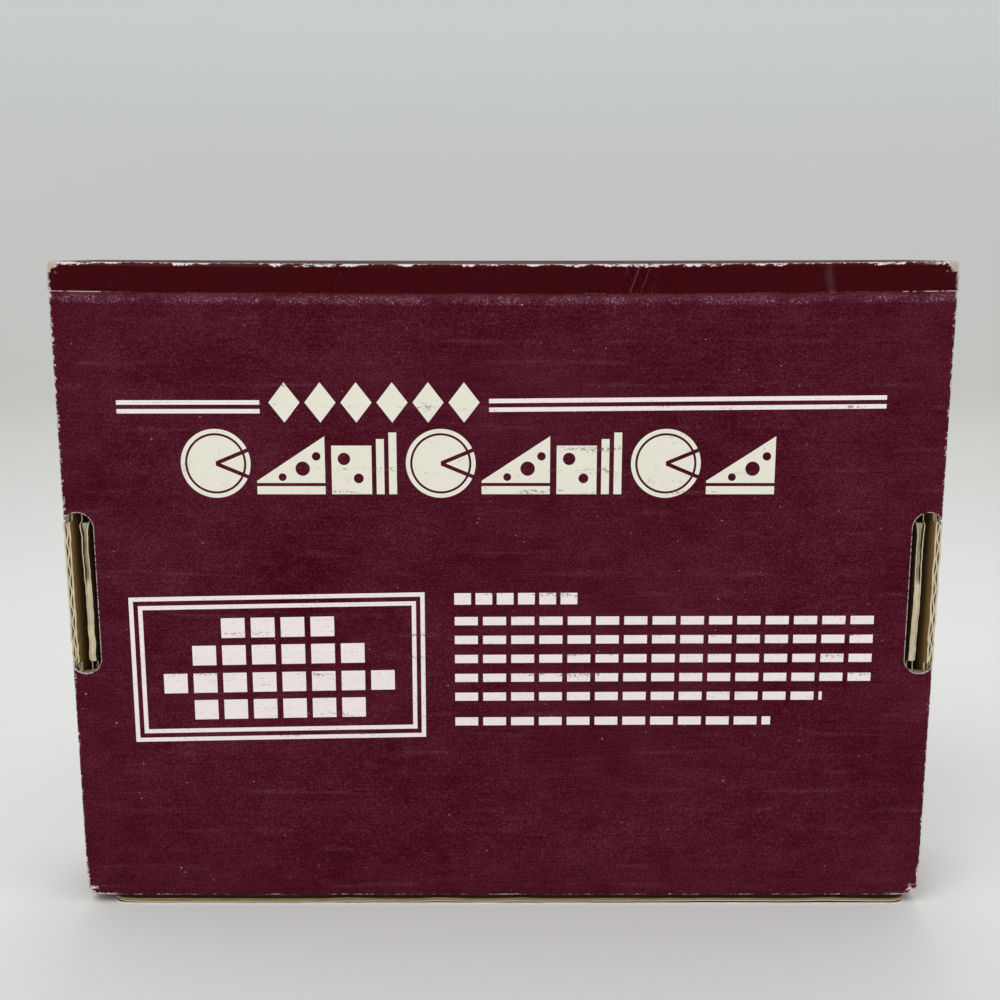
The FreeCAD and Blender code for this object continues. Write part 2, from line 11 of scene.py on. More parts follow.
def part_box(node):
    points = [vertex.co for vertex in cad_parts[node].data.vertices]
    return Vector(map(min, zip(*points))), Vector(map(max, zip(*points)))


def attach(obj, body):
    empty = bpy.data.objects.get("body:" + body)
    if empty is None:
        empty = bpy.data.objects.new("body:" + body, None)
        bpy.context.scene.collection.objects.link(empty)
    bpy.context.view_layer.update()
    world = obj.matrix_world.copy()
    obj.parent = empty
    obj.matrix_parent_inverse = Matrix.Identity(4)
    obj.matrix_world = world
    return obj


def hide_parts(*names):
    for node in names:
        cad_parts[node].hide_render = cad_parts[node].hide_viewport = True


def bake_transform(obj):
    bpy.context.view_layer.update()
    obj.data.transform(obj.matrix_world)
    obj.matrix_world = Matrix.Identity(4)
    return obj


bl_info = {
    "name": "Boxed Slicer Looks",
    "version": (1, 0, 0),
    "blender": (4, 5, 0),
    "location": "3D View > Sidebar > Slicer",
    "description": "Dresses a printed carton of fluted board and the marble slicer packed in it",
    "category": "Object",
}

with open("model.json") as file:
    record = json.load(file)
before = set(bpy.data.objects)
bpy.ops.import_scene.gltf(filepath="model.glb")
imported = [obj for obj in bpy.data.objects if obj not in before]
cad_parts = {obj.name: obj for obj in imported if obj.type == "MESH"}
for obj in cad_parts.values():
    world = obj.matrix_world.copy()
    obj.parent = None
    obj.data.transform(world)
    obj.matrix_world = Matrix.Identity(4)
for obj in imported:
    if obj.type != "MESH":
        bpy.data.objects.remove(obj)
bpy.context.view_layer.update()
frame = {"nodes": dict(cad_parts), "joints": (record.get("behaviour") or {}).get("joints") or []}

MM = 0.001

# Places of the carton, from the frame
PANEL_LOW, PANEL_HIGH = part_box("back_panel")
LID_LOW, LID_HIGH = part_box("lid_panel")
FLAP_LOW, FLAP_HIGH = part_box("lid_front_flap")
TAPE_LOW, TAPE_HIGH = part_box("sealing_tape")
HALF_WIDTH = PANEL_HIGH.x
PANEL_MIDDLE = (PANEL_LOW.z + PANEL_HIGH.z) / 2
CALIPER = PANEL_HIGH.y - PANEL_LOW.y
HINGES = {joint["name"]: Vector(joint["pos_m"]) for joint in frame["joints"]}

# Where the tape's lower edge has come to lie, a little above the frame's
TAPED_FROM = TAPE_LOW.z + 0.9 * MM

# The slots, of the same sizes as their cuts in the frame
SLOT_CENTRE_X = 130.6 * MM
SLOT_END_RADIUS = 4.9 * MM
SLOT_ARC_RISE = 20.85 * MM
SLOT_ROOM = 0.3 * MM

# The packing's window, as in the frame: a well for the handle, the stone, and the arm beside it
ARM_LEFT, WELL_RIGHT = -108.0 * MM, -45.5 * MM
STONE_LEFT, STONE_RIGHT = -96.8 * MM, 106.8 * MM
WELL_LOW, STONE_LOW, ARM_HIGH, STONE_HIGH = 10.8 * MM, 69.1 * MM, 192.4 * MM, 196.7 * MM

# The stone's cuts, as in the frame: the wire's groove, the notch at its end and the pivot's hole
GROOVE_LEFT, GROOVE_RIGHT, GROOVE_FLOOR = -60 * MM, -57 * MM, -2.45 * MM
NOTCH_LEFT, NOTCH_RIGHT, NOTCH_LOW = -64.5 * MM, -52.5 * MM, 182.4 * MM
HOLE_RADIUS, HOLE_DEPTH, HOLE_END = 2.55 * MM, 60 * MM, -38.5 * MM
OVERRUN = 1 * MM

# The arm's rod and the thread of its stud, as in the frame
ROD_RADIUS, ROD_BEND, ROD_LEFT, ROD_END = 2.5 * MM, 7 * MM, -104 * MM, -38.9 * MM
THREAD_PITCH, THREAD_CORE, STUD_BORE = 0.8 * MM, 2.12 * MM, 2.45 * MM

# Material places on a piece of board; the printed face's own cut edge is white
OUTER, INNER, EDGE, MEDIUM, WHITE = range(5)
PRINTED, BACKING, MASHED = (OUTER, INNER, WHITE), (INNER, INNER, EDGE), (EDGE, EDGE, EDGE)


def length_property(name, description, default):
    return FloatProperty(name=name, description=description, default=default * MM, unit="LENGTH")


def colour_property(name, description, default):
    return FloatVectorProperty(name=name, description=description, default=default, subtype="COLOR", size=3,
                               min=0, max=1)


class BoardSizes(bpy.types.PropertyGroup):
    """Sizes of the fluted board and of its wear."""

    pitch: length_property("Flute pitch", "Distance from one flute to the next", 6.5)
    liner: length_property("Liner", "Thickness of each paper face", 0.4)
    frayed: length_property("Frayed liner", "Thickness of a paper face that ends in a raw edge", 0.7)
    medium: length_property("Medium", "Thickness of the fluted paper between the faces", 0.4)
    fold: length_property("Fold radius", "Outer radius of a folded edge", 1.5)
    sag: length_property("Top sag", "How far the middle of the top edge has sunk", 0.9)
    crush_open: length_property("Flap gap", "How far the flap's front edge has been pressed down", 1.2)
    crush: length_property("Corner crush", "How far a corner is pushed in", 1.3)
    dent: length_property("Dents", "Depth of the panel's broad hollows", 0.5)


class PrintColours(bpy.types.PropertyGroup):
    """Colours of the printed outside of the board."""

    deep: colour_property("Deep ink", "Unworn maroon ink", (0.050, 0.0004, 0.0045))
    worn: colour_property("Worn ink", "Ink rubbed to a purple bloom", (0.093, 0.0096, 0.0245))
    taped: colour_property("Taped ink", "Ink under the clear tape", (0.050, 0.0003, 0.0018))
    cream: colour_property("Cream mark", "The board's cream where the large marks are", (0.90, 0.86, 0.74))
    rule: colour_property("Pale mark", "The pinkish white of the rules", (0.98, 0.88, 0.86))
    fibre: colour_property("Worn fibre", "Paper fibre where the ink has worn off", (0.62, 0.47, 0.43))


class BoardColours(bpy.types.PropertyGroup):
    """Colours of the board's own paper."""

    kraft: colour_property("Kraft", "Plain brown inner face", (0.31, 0.182, 0.064))
    cut: colour_property("Cut edge", "Edge of a cut paper face", (0.74, 0.63, 0.43))
    white: colour_property("White cut edge", "Edge of the printed paper face", (0.93, 0.88, 0.82))
    medium: colour_property("Fluted paper", "The paper between the faces", (0.34, 0.21, 0.10))


class SlicerColours(bpy.types.PropertyGroup):
    """Colours of the slicer in the carton."""

    marble: colour_property("Marble", "Ground of the stone", (0.74, 0.73, 0.71))
    vein: colour_property("Vein", "Veins of the stone", (0.30, 0.31, 0.32))
    wood: colour_property("Wood", "Ground of the handle", (0.30, 0.105, 0.030))
    grain: colour_property("Wood grain", "Grain lines of the handle", (0.085, 0.025, 0.008))
    chrome: colour_property("Chrome", "Plated rod", (0.62, 0.63, 0.65))
    steel: colour_property("Steel", "Wire and stud", (0.42, 0.42, 0.43))
    brass: colour_property("Brass", "Turned nut", (0.55, 0.34, 0.10))
    rubber: colour_property("Rubber", "Feet", (0.018, 0.018, 0.018))


# Levels and curves
def levels(low, high, step):
    """Even levels from low to high, about a step apart."""
    count = max(1, math.ceil(abs(high - low) / step - 0.001))
    return [low + (high - low) * index / count for index in range(count + 1)]


def joined_levels(*stretches):
    """Stretches of levels, each from where the last one ended."""
    joined = list(stretches[0])
    for stretch in stretches[1:]:
        joined += stretch[1:]
    return joined


def mix(low, high, share):
    return low + (high - low) * share


def ramp(value, start, end):
    """0 before start and 1 past end, with a smooth rise between."""
    share = min(1, max(0, (value - start) / (end - start)))
    return share * share * (3 - 2 * share)


def wobble(place, size, seed=0):
    """Smooth noise from -1 to 1 at a place, with bumps of about a size."""
    return noise.noise(Vector(place) / size + Vector((seed * 17.3, seed * 5.1, seed * 9.7)))


def rounded_path(corners, radius, step, side=1):
    """Points and outward normals along a line with rounded corners; side tells which hand is outward."""
    found = []
    corners = [Vector(corner) for corner in corners]

    def across(way):
        return Vector((way.y, -way.x)) * side

    start = corners[0]
    for index in range(1, len(corners)):
        way = (corners[index] - corners[index - 1]).normalized()
        if index == len(corners) - 1:
            stretch = levels(0, (corners[index] - start).length, step)
            found += [(start + way * run, across(way)) for run in stretch]
            break
        following = (corners[index + 1] - corners[index]).normalized()
        stop = corners[index] - way * radius
        found += [(start + way * run, across(way)) for run in levels(0, (stop - start).length, step)][:-1]
        turn = -1 if way.cross(following) < 0 else 1
        centre = stop + Vector((-way.y, way.x)) * radius * turn
        for angle in levels(0, math.pi / 2, math.pi / 10):
            spoke = Matrix.Rotation(angle * turn, 2) @ (stop - centre)
            heading = Matrix.Rotation(angle * turn, 2) @ way
            found.append((centre + spoke, across(heading)))
        start = corners[index] + following * radius
    kept = [found[0]]
    for item in found[1:]:
        if (item[0] - kept[-1][0]).length > 1e-6:
            kept.append(item)
    return kept


# Sheets of board
def laid_grid(mesh, firsts, seconds, place):
    """A grid of faces over two lists of levels, put in place point by point."""
    across, along = len(firsts) - 1, len(seconds) - 1
    made = bmesh.ops.create_grid(mesh, x_segments=across, y_segments=along, size=1)
    faces = {}
    for vert in made["verts"]:
        column = round((vert.co.x + 1) * across / 2)
        row = round((vert.co.y + 1) * along / 2)
        faces.update(dict.fromkeys(vert.link_faces))
        vert.co = place(firsts[column], seconds[row])
    return list(faces)


def leaf(mesh, firsts, seconds, outer, inner, slots):
    """Adds a closed sheet between an outer and an inner surface, with a material place for each and the rim."""
    sheet = bmesh.new()
    front = laid_grid(sheet, firsts, seconds, outer)
    back = laid_grid(sheet, firsts, seconds, inner)
    border = [edge for edge in sheet.edges if edge.is_boundary]
    rim = bmesh.ops.bridge_loops(sheet, edges=border)["faces"]
    for faces, slot in zip((front, back, rim), slots):
        for face in faces:
            face.material_index = slot
    bmesh.ops.remove_doubles(sheet, verts=sheet.verts, dist=1e-7)
    bmesh.ops.recalc_face_normals(sheet, faces=sheet.faces)
    made = mesh_of(sheet, "sheet")
    mesh.from_mesh(made)
    bpy.data.meshes.remove(made)


class Panel:
    """A flat panel of board: the axes that its flutes, its breadth and its thickness follow, and its two faces."""

    def __init__(self, flutes, across, through, inner, outer):
        self.flutes, self.across, self.through = ("XYZ".index(letter) for letter in (flutes, across, through))
        self.inner, self.outer = inner, outer
        self.sign = 1 if outer > inner else -1

    def point(self, run, level, depth):
        """A point from its run along the flutes, its level across them and its depth below the outer face."""
        place = Vector((0, 0, 0))
        place[self.flutes] = run
        place[self.across] = level
        place[self.through] = self.outer - self.sign * depth
        return place


def shares(ends, row, step):
    """Even shares of a row, about a step in millimetres apart."""
    first, last = ends(row)
    return levels(0, 1, 1 / max(2, round((last - first) / (step * MM))))


def add_liner(mesh, panel, rows, ends, depth, thickness, slots, step):
    """One paper face, from a depth inwards; ends gives where each row starts and stops."""
    columns = shares(ends, rows[0], step)

    def surface(at_depth):
        return lambda row, share: panel.point(mix(*ends(row), share), row, at_depth)

    leaf(mesh, rows, columns, surface(depth), surface(depth + thickness), slots)


def add_medium(mesh, panel, sizes, low, high, ends, seed, step, liner=None, paper=None):
    """The fluted paper between the two faces, cut to the same outline."""
    paper = paper or sizes.medium
    rows = levels(low, high, sizes.pitch / 8)
    columns = shares(ends, rows[0], step)
    slant, unevenness, lump = 0.004, 0.06, 9 * MM
    room = abs(panel.outer - panel.inner) - 2 * (liner or sizes.liner) - paper
    middle = abs(panel.outer - panel.inner) / 2

    def surface(offset):
        def place(row, share):
            run = mix(*ends(row), share)
            swing = 1 + unevenness * wobble((run, row, 0), lump, seed)
            wave = math.sin(2 * math.pi * (row + slant * run) / sizes.pitch + seed)
            return panel.point(run, row, middle + wave * swing * room / 2 + offset)
        return place

    leaf(mesh, rows, columns, surface(-paper / 2), surface(paper / 2), (MEDIUM, MEDIUM, EDGE))


def add_board(mesh, panel, sizes, rows, ends, seed, steps, liner=None, paper=None, rims=(WHITE, EDGE), fluted=None):
    """Both paper faces and the fluted paper between them: steps in millimetres in turn, and fluted its own ends."""
    liner = liner or sizes.liner
    add_liner(mesh, panel, rows, ends, 0, liner, (OUTER, INNER, rims[0]), steps[0])
    add_liner(mesh, panel, rows, ends, CALIPER - liner, liner, (INNER, INNER, rims[1]), steps[1])
    add_medium(mesh, panel, sizes, rows[0], rows[-1], fluted or ends, seed, steps[2], liner, paper)


def even(first, last):
    """The same ends for every row."""
    return lambda level: (first, last)


def corner_trim(distance, radius):
    """How much a rounded corner takes off a row that lies at a distance from the edge."""
    short = max(0, radius - distance)
    return radius - math.sqrt(max(0, radius ** 2 - short ** 2))


def tongue_rows(low, high, half, corner, fine, coarse, plain=6 * MM):
    """Levels up an end wall, close together at both ends of the tongue that stands in the slot."""
    first, last = PANEL_MIDDLE - half, PANEL_MIDDLE + half
    return joined_levels(levels(low, first, plain), levels(first, first + corner, fine),
                         levels(first + corner, last - corner, coarse), levels(last - corner, last, fine),
                         levels(last, high, plain))


def slot_half(offset):
    """Half of a slot's height at a distance from its middle, less the room round a tongue."""
    return SLOT_ARC_RISE + math.sqrt(SLOT_END_RADIUS ** 2 - offset ** 2) - SLOT_ROOM


def add_bent_leaf(mesh, axis, rows, path, thickness, slots):
    """A paper face bent along a path in the plane square to an axis, with its outer side on the path."""
    along = "XYZ".index(axis)

    def surface(offset):
        def place(row, item):
            point, normal = item
            found = list(point + normal * offset)
            found.insert(along, row)
            return Vector(found)
        return place

    leaf(mesh, rows, path, surface(0), surface(-thickness), slots)


def mesh_of(build, name):
    """A mesh from a bmesh build."""
    made = bpy.data.meshes.new(name)
    build.to_mesh(made)
    build.free()
    return made


def spun(profile, steps, merged):
    """A surface spun from a profile of (radius, height) about the upright axis."""
    build = bmesh.new()
    verts = [build.verts.new((radius, 0, height)) for radius, height in profile]
    edges = [build.edges.new(pair) for pair in zip(verts, verts[1:])]
    bmesh.ops.spin(build, geom=verts + edges, cent=(0, 0, 0), axis=(0, 0, 1), angle=2 * math.pi, steps=steps,
                   use_merge=True)
    bmesh.ops.remove_doubles(build, verts=build.verts, dist=merged)
    bmesh.ops.recalc_face_normals(build, faces=build.faces)
    return build


def less(mesh, cutters):
    """A mesh with other meshes cut out of it."""
    work = bpy.data.objects.new("work", mesh)
    bpy.context.scene.collection.objects.link(work)
    spare = [work]
    for cutter in cutters:
        tool = bpy.data.objects.new("cutter", cutter)
        bpy.context.scene.collection.objects.link(tool)
        spare.append(tool)
        cut = work.modifiers.new("cut", "BOOLEAN")
        cut.operation, cut.solver, cut.object = "DIFFERENCE", "EXACT", tool
    bpy.context.view_layer.update()
    found = bpy.data.meshes.new_from_object(work.evaluated_get(bpy.context.evaluated_depsgraph_get()))
    for item in spare:
        bpy.data.objects.remove(item)
    return found


def pill_cutter(side):
    """A prism the shape of one slot, right through the panel."""
    build = bmesh.new()
    bmesh.ops.create_cone(build, cap_ends=True, segments=48, radius1=SLOT_END_RADIUS, radius2=SLOT_END_RADIUS,
                          depth=4 * CALIPER)
    bmesh.ops.rotate(build, verts=build.verts, matrix=Matrix.Rotation(math.pi / 2, 3, "X"))
    for vert in build.verts:
        rise = SLOT_ARC_RISE if vert.co.z > -1e-9 else -SLOT_ARC_RISE
        vert.co += Vector((side * SLOT_CENTRE_X, (PANEL_LOW.y + PANEL_HIGH.y) / 2, PANEL_MIDDLE + rise))
    for face in build.faces:
        face.material_index = WHITE
    bmesh.ops.recalc_face_normals(build, faces=build.faces)
    return mesh_of(build, "pill")


def slot_edge(level):
    """How far from the middle the panel reaches at a level, beside its slots."""
    past = max(0, abs(level - PANEL_MIDDLE) - SLOT_ARC_RISE)
    if past >= SLOT_END_RADIUS:
        return HALF_WIDTH - CALIPER / 2
    return SLOT_CENTRE_X - math.sqrt(SLOT_END_RADIUS ** 2 - past ** 2)


def handled(point, sizes):
    """Where a point of the new carton has come to after years of handling: never further out than it was."""
    x, y, z = point
    half, low, high, front, back = HALF_WIDTH, PANEL_LOW.z, TAPE_HIGH.z, TAPE_LOW.y, LID_HIGH.y
    sagging, border, hollow_size, lump = 60 * MM, 40 * MM, 75 * MM, 1.6 * MM
    share = min(1, abs(x) / half)
    top = ramp(z, high - sagging, high)
    forward = 1 - ramp(y, front, back)
    moved = Vector((x, y, z - sizes.sag * mix(0.3, 1, forward) * (1 - share ** 2) * top))
    inside = ramp(half - abs(x), 0, border) * ramp(z - low, 0, border) * ramp(high - z, 0, border)
    hollow = 0.5 + 0.5 * wobble((x, 0, z), hollow_size, 3)
    moved.y += sizes.dent * hollow * inside * forward
    for side in (-1, 1):
        for level, reach in ((low, 7 * MM), (high, 5 * MM)):
            away = (Vector((x, y, z)) - Vector((side * half, front, level))).length
            near = 1 - ramp(away, 0, reach)
            if near > 0:
                push = sizes.crush * near * (0.55 + 0.45 * wobble(point, lump, 5))
                inwards = Vector((-side * 0.5, 0.75, 0.55 if level == low else -0.35))
                moved += inwards * push
    return moved


def worn(mesh, sizes, piece=None):
    """Move every point of a mesh as handling has moved it."""
    for vert in mesh.vertices:
        vert.co = handled(vert.co, sizes)
        if piece:
            vert.co = piece(vert.co)
    mesh.update()


def piece_of(name, mesh, materials, body, slot, *nodes, smooth=35):
    """A finished piece, which rides on a body and stands for some nodes of the frame."""
    for material in materials:
        mesh.materials.append(material)
    made = bpy.data.objects.new(name, mesh)
    bpy.context.scene.collection.objects.link(made)
    if smooth:
        made.data.shade_smooth()
        made.data.set_sharp_from_angle(angle=math.radians(smooth))
    if body:
        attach(made, body)
    if nodes:
        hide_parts(*nodes)
    return made


# Shader maths
class Finish:
    """A material, its coordinates in millimetres and the one way in which its nodes are made."""

    def __init__(self, name):
        self.material = bpy.data.materials.new(name)
        self.material.use_nodes = True
        self.tree = self.material.node_tree
        self.tree.nodes.clear()
        place = self.node("ShaderNodeTexCoord", output="Object")
        self.place = self.vector("SCALE", place, Scale=1 / MM)
        self.x, self.y, self.z = (self.node("ShaderNodeSeparateXYZ", inputs={0: self.place}, output=axis)
                                  for axis in range(3))

    def node(self, kind, settings=None, inputs=None, output=0):
        """One node: its settings first, then a value or a link for each socket."""
        made = self.tree.nodes.new(kind)
        for name, value in (settings or {}).items():
            setattr(made, name, value)
        for name, value in (inputs or {}).items():
            if isinstance(value, Wire):
                self.tree.links.new(value.socket, made.inputs[name])
            else:
                made.inputs[name].default_value = value
        return Wire(self, made.outputs[output]) if made.outputs else None

    def vector(self, operation, *parts, **sockets):
        return self.node("ShaderNodeVectorMath", {"operation": operation}, {**dict(enumerate(parts)), **sockets})

    def grain(self, size, detail=3, rough=0.55, seed=0):
        """Noise from 0 to 1 with bumps of about a size in millimetres, or of a size along each axis."""
        sides = size if isinstance(size, tuple) else (size, size, size)
        place = self.vector("MULTIPLY_ADD", self.place, [1 / side for side in sides],
                            (seed * 7.31, seed * 3.17, seed * 5.53))
        return self.node("ShaderNodeTexNoise", {"noise_dimensions": "3D"},
                         {"Vector": place, "Scale": 1.0, "Detail": detail, "Roughness": rough})

    def blend(self, first, second, share):
        """A colour between two colours."""
        return self.node("ShaderNodeMix", {"data_type": "RGBA"},
                         {0: share, 6: as_colour(first), 7: as_colour(second)}, output=2)

    def bump(self, height, strength=1.0, distance=1.0):
        """A normal from a height in millimetres."""
        return self.node("ShaderNodeBump", inputs={"Height": height, "Strength": strength,
                                                   "Distance": distance * MM})

    def surface(self, **sockets):
        """The Principled shader, its sockets named with underscores, and the material's output."""
        inputs = {name.replace("_", " "): as_colour(value) if name == "Base_Color" else value
                  for name, value in sockets.items()}
        shader = self.node("ShaderNodeBsdfPrincipled", inputs=inputs)
        self.node("ShaderNodeOutputMaterial", inputs={"Surface": shader})
        return self.material


class Wire:
    """One socket of a material, on which an expression adds Math nodes."""

    def __init__(self, finish, socket):
        self.finish, self.socket = finish, socket

    def math(self, operation, *others, clamp=False):
        inputs = dict(enumerate((self, *others)))
        return self.finish.node("ShaderNodeMath", {"operation": operation, "use_clamp": clamp}, inputs)

    def __add__(self, other):
        return self.math("ADD", other)

    def __sub__(self, other):
        return self.math("SUBTRACT", other)

    def __rsub__(self, other):
        return (self * -1).math("ADD", other)

    def __mul__(self, other):
        return self.math("MULTIPLY", other)

    def __truediv__(self, other):
        return self.math("DIVIDE", other)

    def __pow__(self, other):
        return self.math("POWER", other)

    def __abs__(self):
        return self.math("ABSOLUTE")

    __radd__ = __add__
    __rmul__ = __mul__

    def lesser(self, other):
        return self.math("MINIMUM", other)

    def greater(self, other):
        return self.math("MAXIMUM", other)

    def clamped(self):
        return self.math("ADD", 0, clamp=True)

    def part(self, size):
        """The part past the last whole size."""
        return (self / size).math("FRACT") * size

    def between(self, zero, one):
        """0 at one value, 1 at another, and a straight rise between."""
        return self.finish.node("ShaderNodeMapRange", {"clamp": True},
                                {"Value": self, "From Min": zero, "From Max": one})

    def above(self, edge, soft=0.1):
        """A mask of what lies above an edge."""
        return self.between(edge - soft / 2, edge + soft / 2)

    def within(self, low, high, soft=0.0):
        """A mask of what lies between two values, with crisp or soft ends."""
        middle, half = (low + high) / 2, (high - low) / 2
        if soft:
            return abs(self - middle).between(half + soft / 2, half - soft / 2)
        return self.math("COMPARE", middle, half)


def as_colour(value):
    return value if isinstance(value, Wire) or len(value) == 4 else (*value, 1.0)


def toned(colour, share):
    """A colour made darker or lighter."""
    return tuple(min(1, part * share) for part in colour)


# The print, in millimetres on the panel; some parts of it slope a little
RULE, RULE_GAP = 1.35, 1.3
RIGHT_SLOPE, FRAME_SLOPE, BLOCK_SLOPE = 0.0093, 0.0185, 0.0035
# Left, right and top of each pair of rules
LEFT_RULES, RIGHT_RULES = (-116.5, -73.4, 164.5), (-4.2, 115.5, 164.95)
# Left, right, bottom and top of the double frame's lines
FRAME_LINES = ((-116.2, -24.3, 57.9, 105.2), (-113.4, -27.0, 60.7, 102.4))
# How many blocks stand in each row in the frame, and the row's level
FRAME_ROWS, FRAME_MIDDLE, FRAME_PITCH = ((4, 94.8), (6, 86.0), (8, 77.0), (6, 68.2)), -70.2, 9.3
# The rows of small blocks: the top one's right end, bottom and top, then each one's bottom and right end
BLOCKS_LEFT, TOP_ROW = -15.8, (23.8, 100.7, 104.6)
FRAME_BLOCK, TOP_BLOCK, TOP_PITCH = (7.4, 6.4), (5.2, 3.7), 6.6
SMALL_BLOCK, SMALL_PITCH, SMALL_HEIGHT = (7.2, 2.7), 8.8, 3.4
SMALL_ROWS = ((93.8, 116.2), (87.7, 116.2), (81.5, 116.2), (75.3, 116.2), (69.1, 100.4), (60.9, 84.5))
# The row of lozenges, and the row of cheeses below it
LOZENGE_ROW, LOZENGE_PITCH = (-71.4, -6.3, 157.6, 170.0), 10.85
CHEESE_LEFT, CHEESE_PITCH, CHEESE_COUNT, CHEESE_MIDDLE = -98.7, 22.8, 8, 145.2
CHEESE_HALF, CHEESE_BASE, CHEESE_BAND = 10.4, -9.5, (133, 158)


def rule_pair(x, z, left, right, top):
    """Two thin rules, one under the other."""
    lower = top - RULE - RULE_GAP
    both = z.within(top - RULE, top) + z.within(lower - RULE, lower)
    return x.within(left, right) * both


def frame_line(x, z, left, right, low, high):
    """A rectangle drawn with one rule."""
    outer = x.within(left, right) * z.within(low, high)
    inner = x.within(left + RULE, right - RULE) * z.within(low + RULE, high - RULE)
    return outer - inner


def row_of(x, z, left, right, low, high, pitch, mark):
    """Like marks set side by side along a row; mark draws one about its own middle."""
    local = (x - left).part(pitch) - pitch / 2
    return x.within(left, right) * mark(local, z - (low + high) / 2)


def lozenge(width, height):
    return lambda x, z: (abs(x) / (width / 2) + abs(z) / (height / 2)).math("LESS_THAN", 1)


def bar(width, height):
    return lambda x, z: x.within(-width / 2, width / 2) * z.within(-height / 2, height / 2)


def disc(x, z, across, up, radius):
    """A round spot about a place."""
    return ((x - across) ** 2 + (z - up) ** 2).math("LESS_THAN", radius ** 2)


def wheel_mark(x, z):
    """A round cheese with a slice drawn out of it."""
    rim, ring, face, slope, lean, line = 10.6, 9.3, 8.6, 0.42, 1.08, 0.6
    round_face = disc(x, z, 0, 0, rim) - disc(x, z, 0, 0, ring) + disc(x, z, 0, 0, face)
    lower, upper = ((abs(x * slope + z * way) / lean).within(-line, line) for way in (-1, 1))
    return (round_face - (lower + upper) * x.within(0, 2 * rim)).greater(0)


def wedge_mark(x, z):
    """A cut wedge with three holes over its rind."""
    slope, middle = 0.66, 1.5
    body = z.within(CHEESE_BASE, 20) * x.within(-CHEESE_HALF, CHEESE_HALF)
    body *= (x * slope + middle).math("GREATER_THAN", z)
    rind = z.within(-7.0, -6.0)
    holes = disc(x, z, 3.6, -1.6, 2.2) + disc(x, z, 7.8, 2.2, 1.3) + disc(x, z, -2.6, -4.2, 1.2)
    return (body - rind - holes).greater(0)


def block_mark(x, z):
    """A block with two slices standing beside it."""
    block, first, second = (x.within(left, right) * z.within(CHEESE_BASE, top)
                            for left, right, top in ((-CHEESE_HALF, 1.8, 5.5), (3.2, 5.6, 7.5), (7.0, 9.4, 9.5)))
    holes = disc(x, z, -6.6, 1.4, 1.9) + disc(x, z, -2.2, -4.6, 1.5)
    return (block - holes).greater(0) + first + second


def large_marks(x, z):
    """A row of cheeses: wheel, wedge and block in turn."""
    cell = ((x - CHEESE_LEFT) / CHEESE_PITCH).math("FLOOR")
    kind = cell - (cell / 3).math("FLOOR") * 3
    inside = z.within(*CHEESE_BAND)

    def cheese(across, up):
        marks = [kind.within(index - 0.5, index + 0.5) * mark(across, up)
                 for index, mark in enumerate((wheel_mark, wedge_mark, block_mark))]
        return marks[0] + marks[1] + marks[2]

    right = CHEESE_LEFT + CHEESE_PITCH * CHEESE_COUNT
    return inside * row_of(x, z, CHEESE_LEFT, right, CHEESE_MIDDLE, CHEESE_MIDDLE, CHEESE_PITCH, cheese)


def pale_marks(x, z):
    """The rules, the double frame, and plain marks where the small rows are."""
    z_frame, z_block = z - x * FRAME_SLOPE, z - x * BLOCK_SLOPE
    marks = rule_pair(x, z, *LEFT_RULES) + rule_pair(x, z - x * RIGHT_SLOPE, *RIGHT_RULES)
    for line in FRAME_LINES:
        marks += frame_line(x, z_frame, *line)
    for count, level in FRAME_ROWS:
        half = count * FRAME_PITCH / 2
        marks += row_of(x, z_frame, FRAME_MIDDLE - half, FRAME_MIDDLE + half, level, level, FRAME_PITCH,
                        bar(*FRAME_BLOCK))
    marks += row_of(x, z_block, BLOCKS_LEFT, *TOP_ROW, TOP_PITCH, bar(*TOP_BLOCK))
    for low, right in SMALL_ROWS:
        marks += row_of(x, z_block, BLOCKS_LEFT, right, low, low + SMALL_HEIGHT, SMALL_PITCH, bar(*SMALL_BLOCK))
    return marks.lesser(1)


def small_marks(x, z):
    """A row of lozenges above the cheeses."""
    low, high = LOZENGE_ROW[2:]
    return row_of(x, z, *LOZENGE_ROW, LOZENGE_PITCH, lozenge(9.4, 12.2)) * z.within(low, high)


# Materials of the board
def edge_nearness(finish):
    """How far a point is from the carton's nearest edge and from its nearest corner, in millimetres."""
    from_side = HALF_WIDTH / MM - abs(finish.x)
    from_face = (finish.y - PANEL_LOW.y / MM).lesser(LID_HIGH.y / MM - finish.y)
    from_end = (finish.z - PANEL_LOW.z / MM).lesser(PANEL_HIGH.z / MM - finish.z)
    low, high = from_side.lesser(from_face), from_side.greater(from_face)
    edge = low.greater(high.lesser(from_end))
    corner = high.greater(from_end)
    return edge, corner


def unsagged(finish, sizes):
    """The height that a point near the top edge had before the edge sank, in millimetres."""
    return finish.z + (1 - (finish.x / (HALF_WIDTH / MM)) ** 2) * (sizes.sag / MM)


class Grains:
    """The noises that the wear of a printed face is made of, from broad to fine."""

    def __init__(self, finish, flutes_cross):
        self.broad = finish.grain((34, 34, 26), 2, 0.6, 1)
        self.patch = finish.grain((8, 8, 5.5), 4, 0.66, 2)
        self.streaks = finish.grain((26, 26, 3.6), 3, 0.6, 5)
        self.lines = finish.grain({"z": (16, 16, 0.5), "y": (16, 0.5, 16)}[flutes_cross], 1, 0.5, 3)
        self.torn = finish.grain((2.6, 2.6, 1.5), 3, 0.65, 6)
        self.chips = finish.grain((0.9, 0.9, 0.7), 2, 0.6, 7)
        self.speck = finish.grain((0.55, 0.55, 0.4), 1, 0.6, 4)
        self.nap = finish.grain((0.45, 0.45, 0.35), 1, 0.5, 14)


